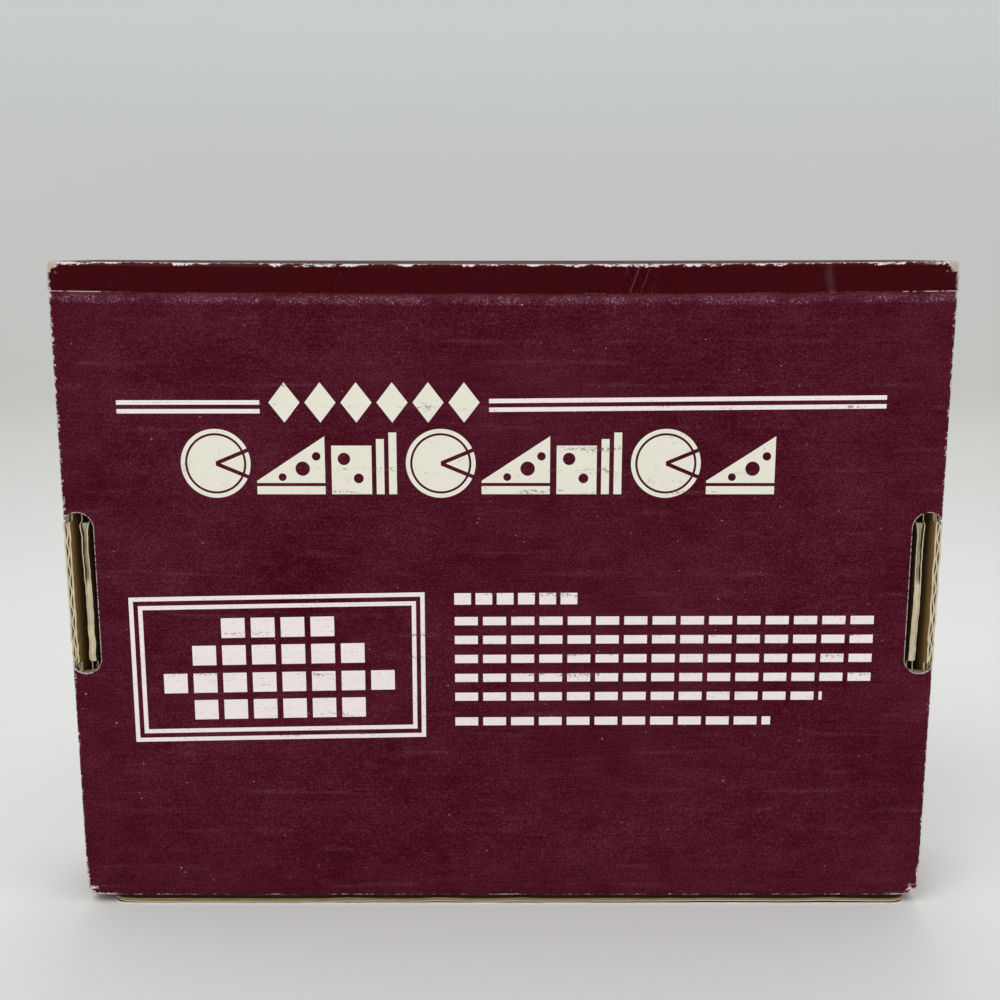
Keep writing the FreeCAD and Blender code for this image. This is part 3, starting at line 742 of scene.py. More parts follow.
def rubbed_ink(finish, colours, grains, crest):
    """Ink with a bloom of wear, a fine nap and pale streaks on the crests of the flutes."""
    bloom = (grains.broad * 1.1 + grains.patch * 1.2 + grains.lines * 0.7 + grains.speck * 0.8 - 1.96).above(0, 1.0)
    ink = finish.blend(colours.deep, colours.worn, bloom)
    ink = finish.blend(ink, (0.178, 0.041, 0.073), grains.nap.above(0.58, 0.14) * (0.20 + bloom * 0.42))
    rubbed = crest * grains.streaks.above(0.60, 0.16) * grains.speck.above(0.46, 0.3)
    return finish.blend(ink, (0.24, 0.10, 0.145), rubbed * 0.24)


def bare_board(finish, grains):
    """Where the ink has gone: ragged edges and corners, and flecks."""
    edge, corner = edge_nearness(finish)
    torn, chips = grains.torn, grains.chips
    bare = (torn * 2.0 + chips * 0.9 - edge * 0.8 - 1.15).above(0, 0.12)
    corner_bare = (torn * 7.0 + chips * 4.5 - corner - 2.7).above(0, 0.5)
    frayed = (chips * 1.6 + torn * 1.2 - edge - 0.45).above(0, 0.2)
    corner_bare = corner_bare.greater(frayed * corner.between(12, 7))
    flecks = finish.grain((1.3, 1.3, 0.8), 1, 0.5, 8).above(0.80, 0.03) * grains.patch.above(0.54, 0.1)
    return (bare + corner_bare + flecks * 0.8).lesser(1)


def front_face(finish, colours, sizes, grains, crest, ink, bare):
    """The base panel's ink with its marks, tape and own wear; and where the tape shines."""
    x, z = finish.x, finish.z
    patch, torn, chips = grains.patch, grains.torn, grains.chips
    level = unsagged(finish, sizes)
    from_side, from_top = HALF_WIDTH / MM - abs(x), PANEL_HIGH.z / MM - level
    from_corner = (from_side ** 2 + from_top ** 2) ** 0.5
    from_tape = level - TAPED_FROM / MM + (grains.broad - 0.5) * 0.4

    # Under the tape, and the dust that its glue holds below it
    taped = from_tape.above(0, 0.15)
    residue = from_tape.within(-2.8, 0, 1.6) * (patch * 0.9 + chips * 0.4 - 0.35)
    dots = grains.nap.above(0.58, 0.06) * grains.speck.above(0.47, 0.1) * patch.above(0.46, 0.1)
    dots = from_tape.within(-3.1, -1.0, 1.0) * dots
    ink = finish.blend(ink, (0.26, 0.10, 0.145), residue * 0.42)
    ink = finish.blend(ink, (0.48, 0.28, 0.34), dots * 0.6)
    ink = finish.blend(ink, finish.blend(colours.taped, colours.deep, patch.above(0.55, 0.2) * 0.5), taped)

    # The marks, scuffed and rubbed through
    cream = finish.blend(colours.cream, (0.52, 0.49, 0.40), (patch * 0.8 + chips * 0.5).above(0.80, 0.08) * 0.45)
    pale = finish.blend(colours.rule, (0.62, 0.40, 0.42), (chips * 0.9 + grains.lines * 0.5).above(0.86, 0.12) * 0.5)
    kept = 1 - (crest * grains.streaks.above(0.60, 0.05) * chips.above(0.52, 0.1)) * 0.7
    ink = finish.blend(ink, cream, (large_marks(x, z) + small_marks(x, z)).lesser(1) * kept)
    ink = finish.blend(ink, pale, pale_marks(x, z) * kept)

    # The slots' rims, the torn top edge and the tape's cut end
    slot_end = (abs(z - PANEL_MIDDLE / MM) - SLOT_ARC_RISE / MM).greater(0)
    from_slot = ((abs(x) - SLOT_CENTRE_X / MM) ** 2 + slot_end ** 2) ** 0.5 - SLOT_END_RADIUS / MM
    rim = (0.20 - from_slot).above(0, 0.12) * chips.above(0.44, 0.1)
    rips, fine_tear = finish.grain(11, 2, 0.6, 11), finish.grain(1.7, 3, 0.65, 10)
    ragged = rips.above(0.52, 0.12) * 0.65 + fine_tear * 0.9 + chips * 1.3 - 0.98
    on_fold = (finish.y - PANEL_LOW.y / MM).between(1.5, 0.7)
    rip = (ragged - from_top).above(0, 0.12) * (torn * 0.6 + chips * 0.4).above(0.46, 0.05)
    rip = rip * from_corner.between(2.5, 4.0) * on_fold
    tape_end = abs(x).above(117, 1) * from_tape.within(-0.1, 0.1, 0.08)
    tape_end = tape_end * finish.grain(1.6, 1, 0.5, 12).above(0.47, 0.1)

    # Dashes along the sides, the worn fold and the bare top corners
    spots = finish.grain(9, 2, 0.5, 13) + (z - 120) * 0.0014
    beads = finish.grain((6, 6, 1.15), 2, 0.6, 15)
    dashes = from_side.within(0.35, 1.15, 0.3) * beads.above(0.57, 0.06) * spots.above(0.52, 0.1)
    dashes = dashes * (1 - x.above(0) * 0.45)
    worn_fold = from_side.within(-0.2, 0.4, 0.3) * torn.above(0.45, 0.12) * on_fold
    top_corner = (torn * 5.0 + chips * 3.5 - from_corner - 0.6).above(0, 0.3)
    bare = bare * (1 - taped * 0.65) + tape_end + dashes * 0.8 + worn_fold * 0.6 + rim * 0.7 + top_corner
    fibre = finish.blend(colours.fibre, (0.84, 0.74, 0.71), torn * 0.5 + chips * 0.5)
    fibre = finish.blend(fibre, (0.56, 0.50, 0.38), (3.4 - from_corner + (chips - 0.5) * 3).between(0, 0.6))
    ink = finish.blend(ink, fibre, bare.lesser(1))
    return finish.blend(ink, (0.90, 0.82, 0.81), rip), taped * (1 - rip)


def flute_wave(along, sizes):
    """The washboard of the flutes, from -1 to 1."""
    return (along * (2 * math.pi * MM / sizes.pitch)).math("COSINE")


def printed_board(name, colours, sizes, flutes_cross="z", front=False):
    """Maroon ink on white-lined board, rubbed along its flutes, edges and corners."""
    finish = Finish(name)
    grains = Grains(finish, flutes_cross)
    wave = flute_wave(getattr(finish, flutes_cross), sizes)
    crest = (wave * 0.5 + 0.5) ** 6
    ink, bare = rubbed_ink(finish, colours, grains, crest), bare_board(finish, grains)
    rough, coat = 0.62 + 0.12 * grains.patch, {}
    if front:
        ink, gloss = front_face(finish, colours, sizes, grains, crest, ink, bare)
        rough, coat = rough - gloss * 0.34, {"Coat_Weight": gloss * 0.05, "Coat_Roughness": 0.16}
    else:
        ink = finish.blend(ink, colours.fibre, bare)
    height = wave * 0.024 + grains.lines * 0.035 + grains.speck * 0.020
    return finish.surface(Base_Color=ink, Roughness=rough, Specular_IOR_Level=0.035,
                          Normal=finish.bump(height, 0.9), **coat)


def kraft_board(name, colours, sizes):
    """Plain brown paper, with painted shade: darkened nearly to black beside the slots and where the flap's top runs
    under the panel.
    """
    finish = Finish(name)
    fibres = finish.grain((3.5, 3.5, 0.5), 4, 0.65, 21)
    cloud = finish.grain(30, 4, 0.6, 22)
    specks = finish.grain(0.7, 1, 0.5, 23).above(0.72, 0.05)
    share = (fibres * 0.7 + cloud * 0.6 - 0.3).clamped()
    brown = colours.kraft
    paper = finish.blend(toned(brown, 0.78), toned(brown, 1.25), share)
    paper = finish.blend(paper, toned(brown, 0.4), specks * 0.5)
    # Painted shade: the faces in the gaps beside the slots' tabs, and the flap's top under the panel's bottom edge, are
    # darkened to stand in for their shadow.
    painted_shade_by_slot = abs(finish.z - PANEL_MIDDLE / MM).above(SLOT_ARC_RISE / MM + 5, 2).between(1, 0)
    painted_shade_by_slot = painted_shade_by_slot * abs(finish.x).within(120, 131, 1.5) * finish.y.between(-15, -17)
    painted_shade_under_panel = finish.z.between(3.6, 3.0) * finish.y.between(-19.2, -20.2)
    paper = finish.blend(paper, toned(brown, 0.10), painted_shade_by_slot.greater(painted_shade_under_panel) * 0.85)
    height = flute_wave(finish.z, sizes) * 0.03 + fibres * 0.04 + specks * 0.02
    return finish.surface(Base_Color=paper, Roughness=0.82 + 0.1 * fibres, Specular_IOR_Level=0.2,
                          Normal=finish.bump(height, 0.8))


def cut_paper(name, colour, seed):
    """The raw edge of paper: pale, fuzzy and soiled in places."""
    finish = Finish(name)
    fuzz = finish.grain(0.5, 3, 0.7, seed)
    soil = finish.grain(6, 4, 0.6, seed + 1)
    share = (fuzz * 0.8 + soil * 0.8 - 0.35).clamped()
    tone = finish.blend(toned(colour, 0.55), toned(colour, 1.3), share)
    return finish.surface(Base_Color=tone, Roughness=0.9, Specular_IOR_Level=0.15,
                          Normal=finish.bump(fuzz * 0.12, 0.9))


# Operators
def settings():
    return bpy.context.scene.slicer_looks


_made = {}


def shared(name, make):
    """A material that several pieces share, made once."""
    if name not in _made:
        _made[name] = make()
    return _made[name]


def board_materials(outer):
    """The five materials of a piece of board, in the order of the material places."""
    looks = settings()
    printed = {
        "front": lambda: printed_board("print_front", looks.ink, looks.board, "z", True),
        "upright": lambda: printed_board("print_upright", looks.ink, looks.board, "z"),
        "level": lambda: printed_board("print_level", looks.ink, looks.board, "y"),
        "kraft": lambda: kraft_board("kraft_face", looks.paper, looks.board),
    }
    kraft = shared("kraft", lambda: kraft_board("kraft_inside", looks.paper, looks.board))
    cut = shared("cut", lambda: cut_paper("cut_edge", looks.paper.cut, 31))
    medium = shared("medium", lambda: cut_paper("fluted_paper", looks.paper.medium, 33))
    white = shared("white", lambda: cut_paper("white_cut_edge", looks.paper.white, 35))
    return [shared(outer, printed[outer]), kraft, cut, medium, cut if outer == "kraft" else white]


class SLICER_OT_stage(bpy.types.Operator):
    """Make the floor, the lights and the camera"""

    bl_idname = "slicer.stage"
    bl_label = "Stage"

    def execute(self, context):
        reach, rim, height = 1.5, 0.9, 1.4
        profile = [(0.0, 0.0), (reach, 0.0)]
        for angle in levels(0, math.pi / 2, math.pi / 24)[1:]:
            profile.append((reach + rim * math.sin(angle), rim * (1 - math.cos(angle))))
        build = spun(profile + [(reach + rim, height)], 96, 1e-5)
        if sum(face.normal.z for face in build.faces if face.calc_center_median().z < 0.01) < 0:
            bmesh.ops.reverse_faces(build, faces=build.faces)
        mesh = mesh_of(build, "sweep")
        finish = Finish("sweep_paint")
        tone = finish.grain(400, 2, 0.5, 41)
        ground = finish.blend((0.735, 0.72, 0.70), (0.775, 0.765, 0.745), tone)
        # Painted shade: the floor is painted darker with distance from the middle, standing in for how the lamps light
        # it.
        away = (finish.x ** 2 + finish.y ** 2) ** 0.5
        ground = finish.blend(ground, (0.66, 0.645, 0.615), away.between(250, 900))
        paint = finish.blend(ground, (0.84, 0.85, 0.825), finish.z.between(20, 700))
        mesh.materials.append(finish.surface(Base_Color=paint, Roughness=0.7, Specular_IOR_Level=0.2))
        floor = bpy.data.objects.new("sweep", mesh)
        floor.data.shade_smooth()
        context.scene.collection.objects.link(floor)

        world = bpy.data.worlds.new("studio")
        context.scene.world = world
        world.use_nodes = True
        sky = world.node_tree.nodes["Background"].inputs
        sky["Color"].default_value, sky["Strength"].default_value = (0.93, 0.97, 1.0, 1), 0.78
        aim = Vector((0, 0, 0.1))
        for name, place, size, power in (
            ("key", (-0.55, -0.75, 1.35), 0.9, 7.0),
            ("fill", (0.95, -0.55, 1.0), 0.9, 2.5),
            ("back", (0.1, 1.1, 1.3), 1.0, 5.0),
        ):
            lamp = bpy.data.lights.new(name, "AREA")
            lamp.shape, lamp.size, lamp.energy = "DISK", size, power
            rig = bpy.data.objects.new(name, lamp)
            rig.location = place
            rig.rotation_euler = (aim - Vector(place)).to_track_quat("-Z", "Y").to_euler()
            context.scene.collection.objects.link(rig)

        camera = bpy.data.cameras.new("camera")
        camera.sensor_width, camera.lens = 36, 46.08
        rig = bpy.data.objects.new("camera", camera)
        pitch_down = 11.07
        rig.location = (-0.9 * MM, -405.8 * MM, 209 * MM)
        rig.rotation_euler = (math.radians(90 - pitch_down), 0, 0)
        context.scene.collection.objects.link(rig)
        context.scene.camera = rig
        context.scene.view_settings.view_transform = "Standard"
        return {"FINISHED"}


def over_edge(place, half, radius, inset):
    """Where a place along a flat sheet lies once the sheet is folded over both its edges, and how deep."""
    flat = half - radius
    past = abs(place) - flat
    if past <= 0:
        return place, inset
    turn = min(past / radius, math.pi / 2)
    reach = radius - inset
    run = max(0, past - radius * math.pi / 2)
    return math.copysign(flat + reach * math.sin(turn), place), radius - reach * math.cos(turn) + run


def fold_levels(half, radius):
    """Levels from the flat of a sheet round its folded edge, back by the board's caliper."""
    flat = half - radius
    bend = flat + radius * math.pi / 2
    return joined_levels(levels(flat, bend, radius * math.pi / 10), levels(bend, bend + CALIPER - radius, 0.7 * MM))


class SLICER_OT_base_panel(bpy.types.Operator):
    """Make the printed base panel with its two slots"""

    bl_idname = "slicer.base_panel"
    bl_label = "Base panel"

    def execute(self, context):
        sizes = settings().board
        half_height = (PANEL_HIGH.z - PANEL_LOW.z) / 2
        fold = sizes.fold

        def surface(inset):
            def place(across, up):
                x, side_depth = over_edge(across, HALF_WIDTH, fold, inset)
                z, end_depth = over_edge(up, half_height, fold, inset)
                depth = min(side_depth + end_depth - inset, CALIPER)
                return Vector((x, PANEL_LOW.y + depth, PANEL_MIDDLE + z))
            return place

        side, end = fold_levels(HALF_WIDTH, fold), fold_levels(half_height, fold)
        step, row_step, inner_step = 3 * MM, 0.8 * MM, 30
        across = joined_levels([-level for level in reversed(side)], levels(-side[0], side[0], step), side)
        slotted = SLOT_ARC_RISE + 2 * SLOT_END_RADIUS
        upper = joined_levels(levels(slotted, end[0], step), end)
        lower = [-level for level in reversed(upper)]
        middle = levels(-slotted, slotted, step)
        build = bmesh.new()
        leaf(build, across, middle, surface(0), surface(sizes.liner), PRINTED)
        outer = less(mesh_of(build, "base_outer"), [pill_cutter(-1), pill_cutter(1)])

        build = bmesh.new()
        build.from_mesh(outer)
        for part in (lower, upper):
            leaf(build, across, part, surface(0), surface(sizes.liner), PRINTED)
        panel = Panel("X", "Z", "Y", PANEL_HIGH.y, PANEL_LOW.y)

        def ends(level):
            reach = slot_edge(level)
            return -reach, reach

        rows = levels(PANEL_LOW.z + CALIPER / 2, PANEL_HIGH.z - CALIPER / 2, row_step)
        add_liner(build, panel, rows, ends, CALIPER - sizes.liner, sizes.liner, BACKING, inner_step)
        add_medium(build, panel, sizes, rows[0], rows[-1], ends, 1, inner_step)
        mesh = mesh_of(build, "base_panel")
        worn(mesh, sizes)
        piece_of("base_panel_board", mesh, board_materials("front"), "tray", "printed_board", "back_panel")
        return {"FINISHED"}


def tray_wall(name, node, side):
    """An outer end wall, whose tongue shows its flutes in the slot."""
    sizes = settings().board
    low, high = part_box(node)
    build = bmesh.new()
    panel = Panel("Y", "Z", "X", side * (HALF_WIDTH - CALIPER), side * HALF_WIDTH)
    half, corner = slot_half(HALF_WIDTH - SLOT_CENTRE_X), 0.4 * MM
    worn_span, ragged, lump, thinned = 5 * MM, 0.22 * MM, 4 * MM, 0.24

    def ends(level):
        inside = ramp(half - abs(level - PANEL_MIDDLE), 0, 0.25 * MM)
        return mix(PANEL_HIGH.y, low.y, inside), high.y

    rows = tongue_rows(low.z, high.z, half, corner, 0.1 * MM, 1.5 * MM)
    add_board(build, panel, sizes, rows, ends, 2 + side, (4, 4, 6), sizes.frayed, 1.6 * sizes.medium, (EDGE, EDGE))
    mesh = mesh_of(build, name)

    def torn(point):
        near = 1 - ramp(point.y, low.y, low.y + worn_span)
        shift = ragged * near * wobble((0, 0, point.z), lump, 7 + side)
        pressed = (HALF_WIDTH - abs(point.x)) * thinned * near
        return point + Vector((side * (pressed - abs(shift) * 2), abs(shift) * 1.5 * near, 0))

    worn(mesh, sizes, torn)
    piece_of(name, mesh, board_materials("upright"), "tray", "printed_board", node)


class SLICER_OT_walls(bpy.types.Operator):
    """Make the end walls and the top and bottom walls"""

    bl_idname = "slicer.walls"
    bl_label = "Walls"

    def execute(self, context):
        for side, word in ((-1, "left"), (1, "right")):
            tray_wall(f"end_wall_{word}_board", f"side_wall_{word}", side)
        sizes = settings().board
        for name, node, upper in (("top_wall_board", "hinge_wall", True), ("bottom_wall_board", "front_wall", False)):
            low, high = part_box(node)
            outer, inner = (high.z, low.z) if upper else (low.z, high.z)
            build = bmesh.new()
            add_board(build, Panel("X", "Y", "Z", inner, outer), sizes, levels(low.y, high.y, 3 * MM),
                      even(low.x, high.x), 5, (4, 8, 8))
            mesh = mesh_of(build, name)
            worn(mesh, sizes)
            piece_of(name, mesh, board_materials("level"), "tray", "printed_board", node)
        return {"FINISHED"}


def roll_over(name, node, side):
    """An inner end wall with its cap strip and its tab in the slot."""
    sizes = settings().board
    low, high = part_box(node)
    inner_x = min(abs(low.x), abs(high.x))
    cap_x = max(abs(low.x), abs(high.x))
    build = bmesh.new()
    panel = Panel("Y", "Z", "X", side * (inner_x + CALIPER), side * inner_x)
    half = slot_half(SLOT_CENTRE_X - inner_x)
    corner, back = 1.5 * MM, 2.2 * MM

    def ends(level):
        inside = ramp(half - abs(level - PANEL_MIDDLE), 0, 1.4 * MM)
        return mix(PANEL_HIGH.y, low.y, inside), high.y - sizes.fold

    tab_low, tab_high = PANEL_MIDDLE - half, PANEL_MIDDLE + half
    rows = tongue_rows(low.z, high.z, half, corner, 0.3 * MM, 1.2 * MM)

    def set_back(level):
        return ends(level)[0] + back, ends(level)[1]

    add_board(build, panel, sizes, rows, ends, 8 + side, (3, 3, 4), fluted=set_back)

    # The tab's edge is crushed shut below, and its faces stand apart above the parting
    shut, parting, parting_half, mash = 0.6 * MM, tab_high - 19 * MM, 2 * MM, 2.4 * MM
    crushed = [level for level in rows if tab_low + shut < level < tab_high - shut]

    def mashed(level):
        parted = ramp(level, parting - parting_half, parting + parting_half)
        return low.y + mix(0.15, 1.5 + 0.3 * wobble((0, 0, level), 3 * MM, 18), parted) * MM, low.y + mash

    add_liner(build, panel, crushed, mashed, sizes.liner, CALIPER - 2 * sizes.liner, MASHED, 1)
    lap = 0.01 * MM
    path = rounded_path([(side * inner_x, high.y - sizes.fold - lap), (side * inner_x, high.y), (side * cap_x, high.y)],
                        sizes.fold - 2 * lap, 2 * MM, side=-side)
    rows = levels(low.z, high.z, 8 * MM)
    add_bent_leaf(build, "Z", rows, path, sizes.liner, PRINTED)
    under = Panel("X", "Z", "Y", high.y - CALIPER, high.y)
    cap_ends = even(*sorted((side * (inner_x + sizes.fold), side * cap_x)))
    add_liner(build, under, rows, cap_ends, CALIPER - sizes.liner, sizes.liner, BACKING, 3)
    add_medium(build, under, sizes, low.z, high.z, cap_ends, 10 + side, 3)
    mesh = mesh_of(build, name)
    worn_span, leaning, thinned = 14 * MM, 1.0 * MM, 0.74
    opened, opened_span = 0.45 * MM, 5 * MM
    swayed, dipped, fuzz, fuzz_size = 0.7 * MM, 0.4 * MM, 0.35 * MM, 1.3 * MM
    straight = side * (inner_x + CALIPER / 2)
    leant = straight + side * leaning

    def torn(point):
        near = 1 - ramp(point.y, low.y, low.y + worn_span)
        sway = 0.55 * wobble((0, 0, point.z), 15 * MM, 12 + side) + 0.3 * wobble((0, 0, point.z), 3 * MM, 14 + side)
        pressed = leant + (point.x - straight) * mix(1, thinned, near)
        apart = opened * near * ramp(point.z, tab_high - opened_span, tab_high)
        pressed += math.copysign(apart, pressed - leant)
        across = mix(point.x, pressed + side * sway * swayed, near)
        frayed = fuzz * near * (0.5 + wobble(point, fuzz_size, 16))
        return Vector((across, point.y + max(0, frayed) + dipped * near * abs(sway), point.z))

    worn(mesh, sizes, torn)
    piece_of(name, mesh, board_materials("kraft"), "tray", "kraft_board", node)


class SLICER_OT_roll_overs(bpy.types.Operator):
    """Make the rolled-over inner walls and the dust flaps between the walls"""

    bl_idname = "slicer.roll_overs"
    bl_label = "Rolled-over walls and dust flaps"

    def execute(self, context):
        sizes = settings().board
        for side, word in ((-1, "left"), (1, "right")):
            roll_over(f"inner_wall_{word}_board", f"roll_over_{word}", side)
            for row in ("top", "bottom"):
                node = f"dust_flap_{row}_{word}"
                low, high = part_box(node)
                outer, inner = (high.x, low.x) if side > 0 else (low.x, high.x)
                radius, fine, coarse = 8 * MM, 1 * MM, 6 * MM

                def ends(level, low=low, high=high, row=row):
                    trim = corner_trim(min(level - low.y, high.y - level), radius)
                    return (low.z + trim, high.z) if row == "top" else (low.z, high.z - trim)

                build = bmesh.new()
                rows = joined_levels(levels(low.y, low.y + radius, fine),
                                     levels(low.y + radius, high.y - radius, coarse),
                                     levels(high.y - radius, high.y, fine))
                add_board(build, Panel("Z", "Y", "X", inner, outer), sizes, rows, ends, 15, (10, 10, 20))
                piece_of(f"{node}_board", mesh_of(build, node), board_materials("upright"), "tray",
                         "kraft_board", node)
        return {"FINISHED"}


class SLICER_OT_lid(bpy.types.Operator):
    """Make the lid, its outside flap and the creases that they fold on"""

    bl_idname = "slicer.lid"
    bl_label = "Lid and flap"

    def execute(self, context):
        sizes = settings().board
        hinge, crease = HINGES["lid_hinge"], HINGES["flap_crease"]
        panel = Panel("X", "Z", "Y", LID_LOW.y, LID_HIGH.y)

        build = bmesh.new()
        rows = levels(LID_LOW.z, hinge.z, 4 * MM)
        add_board(build, panel, sizes, rows, even(-HALF_WIDTH, HALF_WIDTH), 20, (6, 12, 15))
        self.add_bead(build, hinge, 1, levels(-HALF_WIDTH, HALF_WIDTH, 10 * MM))
        piece_of("lid_board", mesh_of(build, "lid_board"), board_materials("upright"), "lid", "printed_board",
                 "lid_panel")

        flap = Panel("X", "Y", "Z", FLAP_HIGH.z, FLAP_LOW.z)
        corner = 4 * MM

        def rounded(level):
            trim = corner_trim(level - FLAP_LOW.y, corner)
            return FLAP_LOW.x + trim, FLAP_HIGH.x - trim

        build = bmesh.new()
        rows = joined_levels(levels(FLAP_LOW.y, FLAP_LOW.y + corner, 0.5 * MM),
                             levels(FLAP_LOW.y + corner, crease.y, 4 * MM))
        add_board(build, flap, sizes, rows, rounded, 22, (4, 4, 4), sizes.frayed, rims=(WHITE, MEDIUM))
        self.add_bead(build, crease, 0, levels(FLAP_LOW.x, FLAP_HIGH.x, 10 * MM))
        mesh = mesh_of(build, "flap_board")
        worn_span, ragged, drawn_back, firm = 6 * MM, 0.35 * MM, 0.9 * MM, 0.8 * MM
        for vert in mesh.vertices:
            near = 1 - ramp(vert.co.y, FLAP_LOW.y, FLAP_LOW.y + worn_span)
            sway = wobble((vert.co.x, 0, vert.co.z * 4), 16 * MM, 23) + 0.5 * wobble(vert.co, 4 * MM, 24)
            vert.co.y += near * ragged * abs(sway)
            pressed = near * (sizes.crush_open + ragged * sway) * ramp(vert.co.z, 0, CALIPER)
            vert.co.y += near * drawn_back * ramp(vert.co.z, firm, CALIPER)
            vert.co.z = max(0, vert.co.z - max(0, pressed))
        piece_of("flap_board", mesh, board_materials("level"), "front_flap", "printed_board", "lid_front_flap")
        self.add_crease("top_crease", hinge, 1, (-HALF_WIDTH, HALF_WIDTH), "tray", "lid")
        self.add_crease("flap_crease_strip", crease, 0, (FLAP_LOW.x, FLAP_HIGH.x), "lid", "front_flap")
        return {"FINISHED"}

    def arc(self, axis, radius, angles):
        """Points and outward normals round a crease."""
        spokes = [Vector((math.cos(angle), math.sin(angle))) for angle in angles]
        return [(Vector((axis.y, axis.z)) + spoke * radius, spoke) for spoke in spokes]

    def add_bead(self, build, axis, upward, rows):
        """The crushed, half-round end of a panel at its crease."""
        radius = CALIPER / 2 - settings().board.liner
        turn = 0 if upward else -math.pi / 2
        path = self.arc(axis, radius, levels(turn, turn + math.pi, math.pi / 12))
        add_bent_leaf(build, "X", rows, path, radius * 0.6, BACKING)

    def add_crease(self, name, axis, upward, span, first, second):
        """The printed face where it turns a crease, between two panels."""
        sizes = settings().board
        radius, straight = CALIPER / 2, 1.8 * MM
        if upward:
            path = [(Vector((axis.y - straight, axis.z + radius)), Vector((0, 1)))]
        else:
            path = [(Vector((axis.y + radius, axis.z + straight)), Vector((1, 0)))]
        turn = math.pi / 2 if upward else 0
        path += self.arc(axis, radius, [turn - angle for angle in levels(0, math.pi / 2, math.pi / 20)])
        build = bmesh.new()
        add_bent_leaf(build, "X", levels(*span, 6 * MM), path, sizes.liner, PRINTED)
        mesh = mesh_of(build, name)
        if upward:
            worn(mesh, sizes)
        strip = piece_of(name, mesh, board_materials("level"), None, "printed_board")
        Vector((0, *path[1][0]))
        Vector((0, *path[-1][0]))
        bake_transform(strip)


class SLICER_OT_tape(bpy.types.Operator):
    """Make the clear tape over the top edge"""

    bl_idname = "slicer.tape"
    bl_label = "Tape"

    def execute(self, context):
        sizes = settings().board
        path = rounded_path([(TAPE_LOW.y, TAPED_FROM), (TAPE_LOW.y, TAPE_HIGH.z), (TAPE_HIGH.y, TAPE_HIGH.z)],
                            sizes.fold, 1.2 * MM, side=-1)
        build = bmesh.new()
        add_bent_leaf(build, "X", levels(-HALF_WIDTH, HALF_WIDTH, 2 * MM), path, 0.06 * MM, (0, 0, 0))
        mesh = mesh_of(build, "tape")
        worn(mesh, sizes)
        finish = Finish("clear_tape")
        level = unsagged(finish, sizes) - TAPED_FROM / MM
        crease = (finish.x - 97 + level * 0.12).within(-1.2, 1.2, 2.0) * level.above(0)
        crease = crease * finish.grain(3, 3, 0.6, 53).above(0.45, 0.3)
        hairs = abs((finish.x - 37.5) - level * 0.35).part(3.1).within(0, 0.16, 0.1) * finish.x.within(36, 45, 2)
        edge = level.within(-0.3, 0.14, 0.1) * finish.grain(7, 2, 0.5, 52).above(0.5, 0.1)
        edge = edge * finish.grain(1.4, 2, 0.6, 54).above(0.52, 0.08)
        pale = (crease * 0.35 + hairs * 0.5 + edge * 0.8).lesser(1)
        tone = finish.blend((0.055, 0.004, 0.008), (0.60, 0.40, 0.40), pale)
        material = finish.surface(Base_Color=tone, Roughness=0.22, Specular_IOR_Level=0.2,
                                  Alpha=0.05 + pale * 0.22)
        material.surface_render_method = "BLENDED"
        piece_of("sealing_tape_film", mesh, [material], "tray", "tape", "sealing_tape")
        return {"FINISHED"}


class SLICER_OT_insert(bpy.types.Operator):
    """Make the packing: glued layers of fluted board with a window cut through them"""

    bl_idname = "slicer.insert"
    bl_label = "Packing"

    def execute(self, context):
        sizes = settings().board
        low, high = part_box("insert_frame")
        layer_share, skin = 0.425, 0.01 * MM
        count = round((high.y - low.y) / (sizes.pitch * layer_share))
        thick = (high.y - low.y) / count
        chance = random.Random(12)
        build = bmesh.new()
        for layer in range(count):
            slip = [chance.uniform(0, 0.25) * MM for side in range(4)]
            inner = low.y + layer * thick
            panel = Panel("X", "Z", "Y", inner, inner + thick)
            for start, stop, spans in self.bands(low, high, slip):
                for first, last in spans:
                    rows = levels(start, stop, 20 * MM)
                    ends = even(first, last)
                    for depth in (skin, thick - sizes.liner - skin):
                        add_liner(build, panel, rows, ends, depth, sizes.liner, (OUTER, OUTER, EDGE), 20)
                    add_medium(build, panel, sizes, start, stop, ends, layer * 1.7, 40)
        mesh = mesh_of(build, "insert")
        piece_of("packing_block", mesh, board_materials("kraft"), "tray", "packing_board", "insert_frame")
        return {"FINISHED"}

    def bands(self, low, high, slip):
        """The stretches of level in which the window has the same sides, with the board's spans in each."""
        left, right, under, over = slip
        window = [(ARM_LEFT - left, WELL_RIGHT + right), (ARM_LEFT - left, STONE_RIGHT + right),
                  (STONE_LEFT - left, STONE_RIGHT + right)]
        edges = [low.z, WELL_LOW - under, STONE_LOW - under, ARM_HIGH + over, STONE_HIGH + over, high.z]
        spans = [[(low.x, high.x)]]
        spans += [[(low.x, start), (stop, high.x)] for start, stop in window]
        spans.append([(low.x, high.x)])
        return list(zip(edges, edges[1:], spans))


def turned(name, profile, centre, axis, steps=64):
    """A mesh turned from a profile of (radius, height) about an axis, closed where the profile meets it."""
    build = spun(profile, steps, 1e-7)
    turn = {"Z": Matrix(), "Y": Matrix.Rotation(-math.pi / 2, 4, "X"), "X": Matrix.Rotation(math.pi / 2, 4, "Y")}
    bmesh.ops.transform(build, matrix=Matrix.Translation(centre) @ turn[axis], verts=build.verts)
    return mesh_of(build, name)


def rounded_profile(points, radius, steps=4):
    """A profile of (radius, height) points whose corners are rounded."""
    found = [Vector(points[0])]
    for before, corner, after in zip(points, points[1:], points[2:]):
        before, corner, after = Vector(before), Vector(corner), Vector(after)
        reach = min(radius, (corner - before).length / 2, (after - corner).length / 2)
        start = corner + (before - corner).normalized() * reach
        stop = corner + (after - corner).normalized() * reach
        for share in levels(0, 1, 1 / steps):
            found.append(start.lerp(corner, share).lerp(corner.lerp(stop, share), share))
    found.append(Vector(points[-1]))
    return [tuple(point) for point in found]


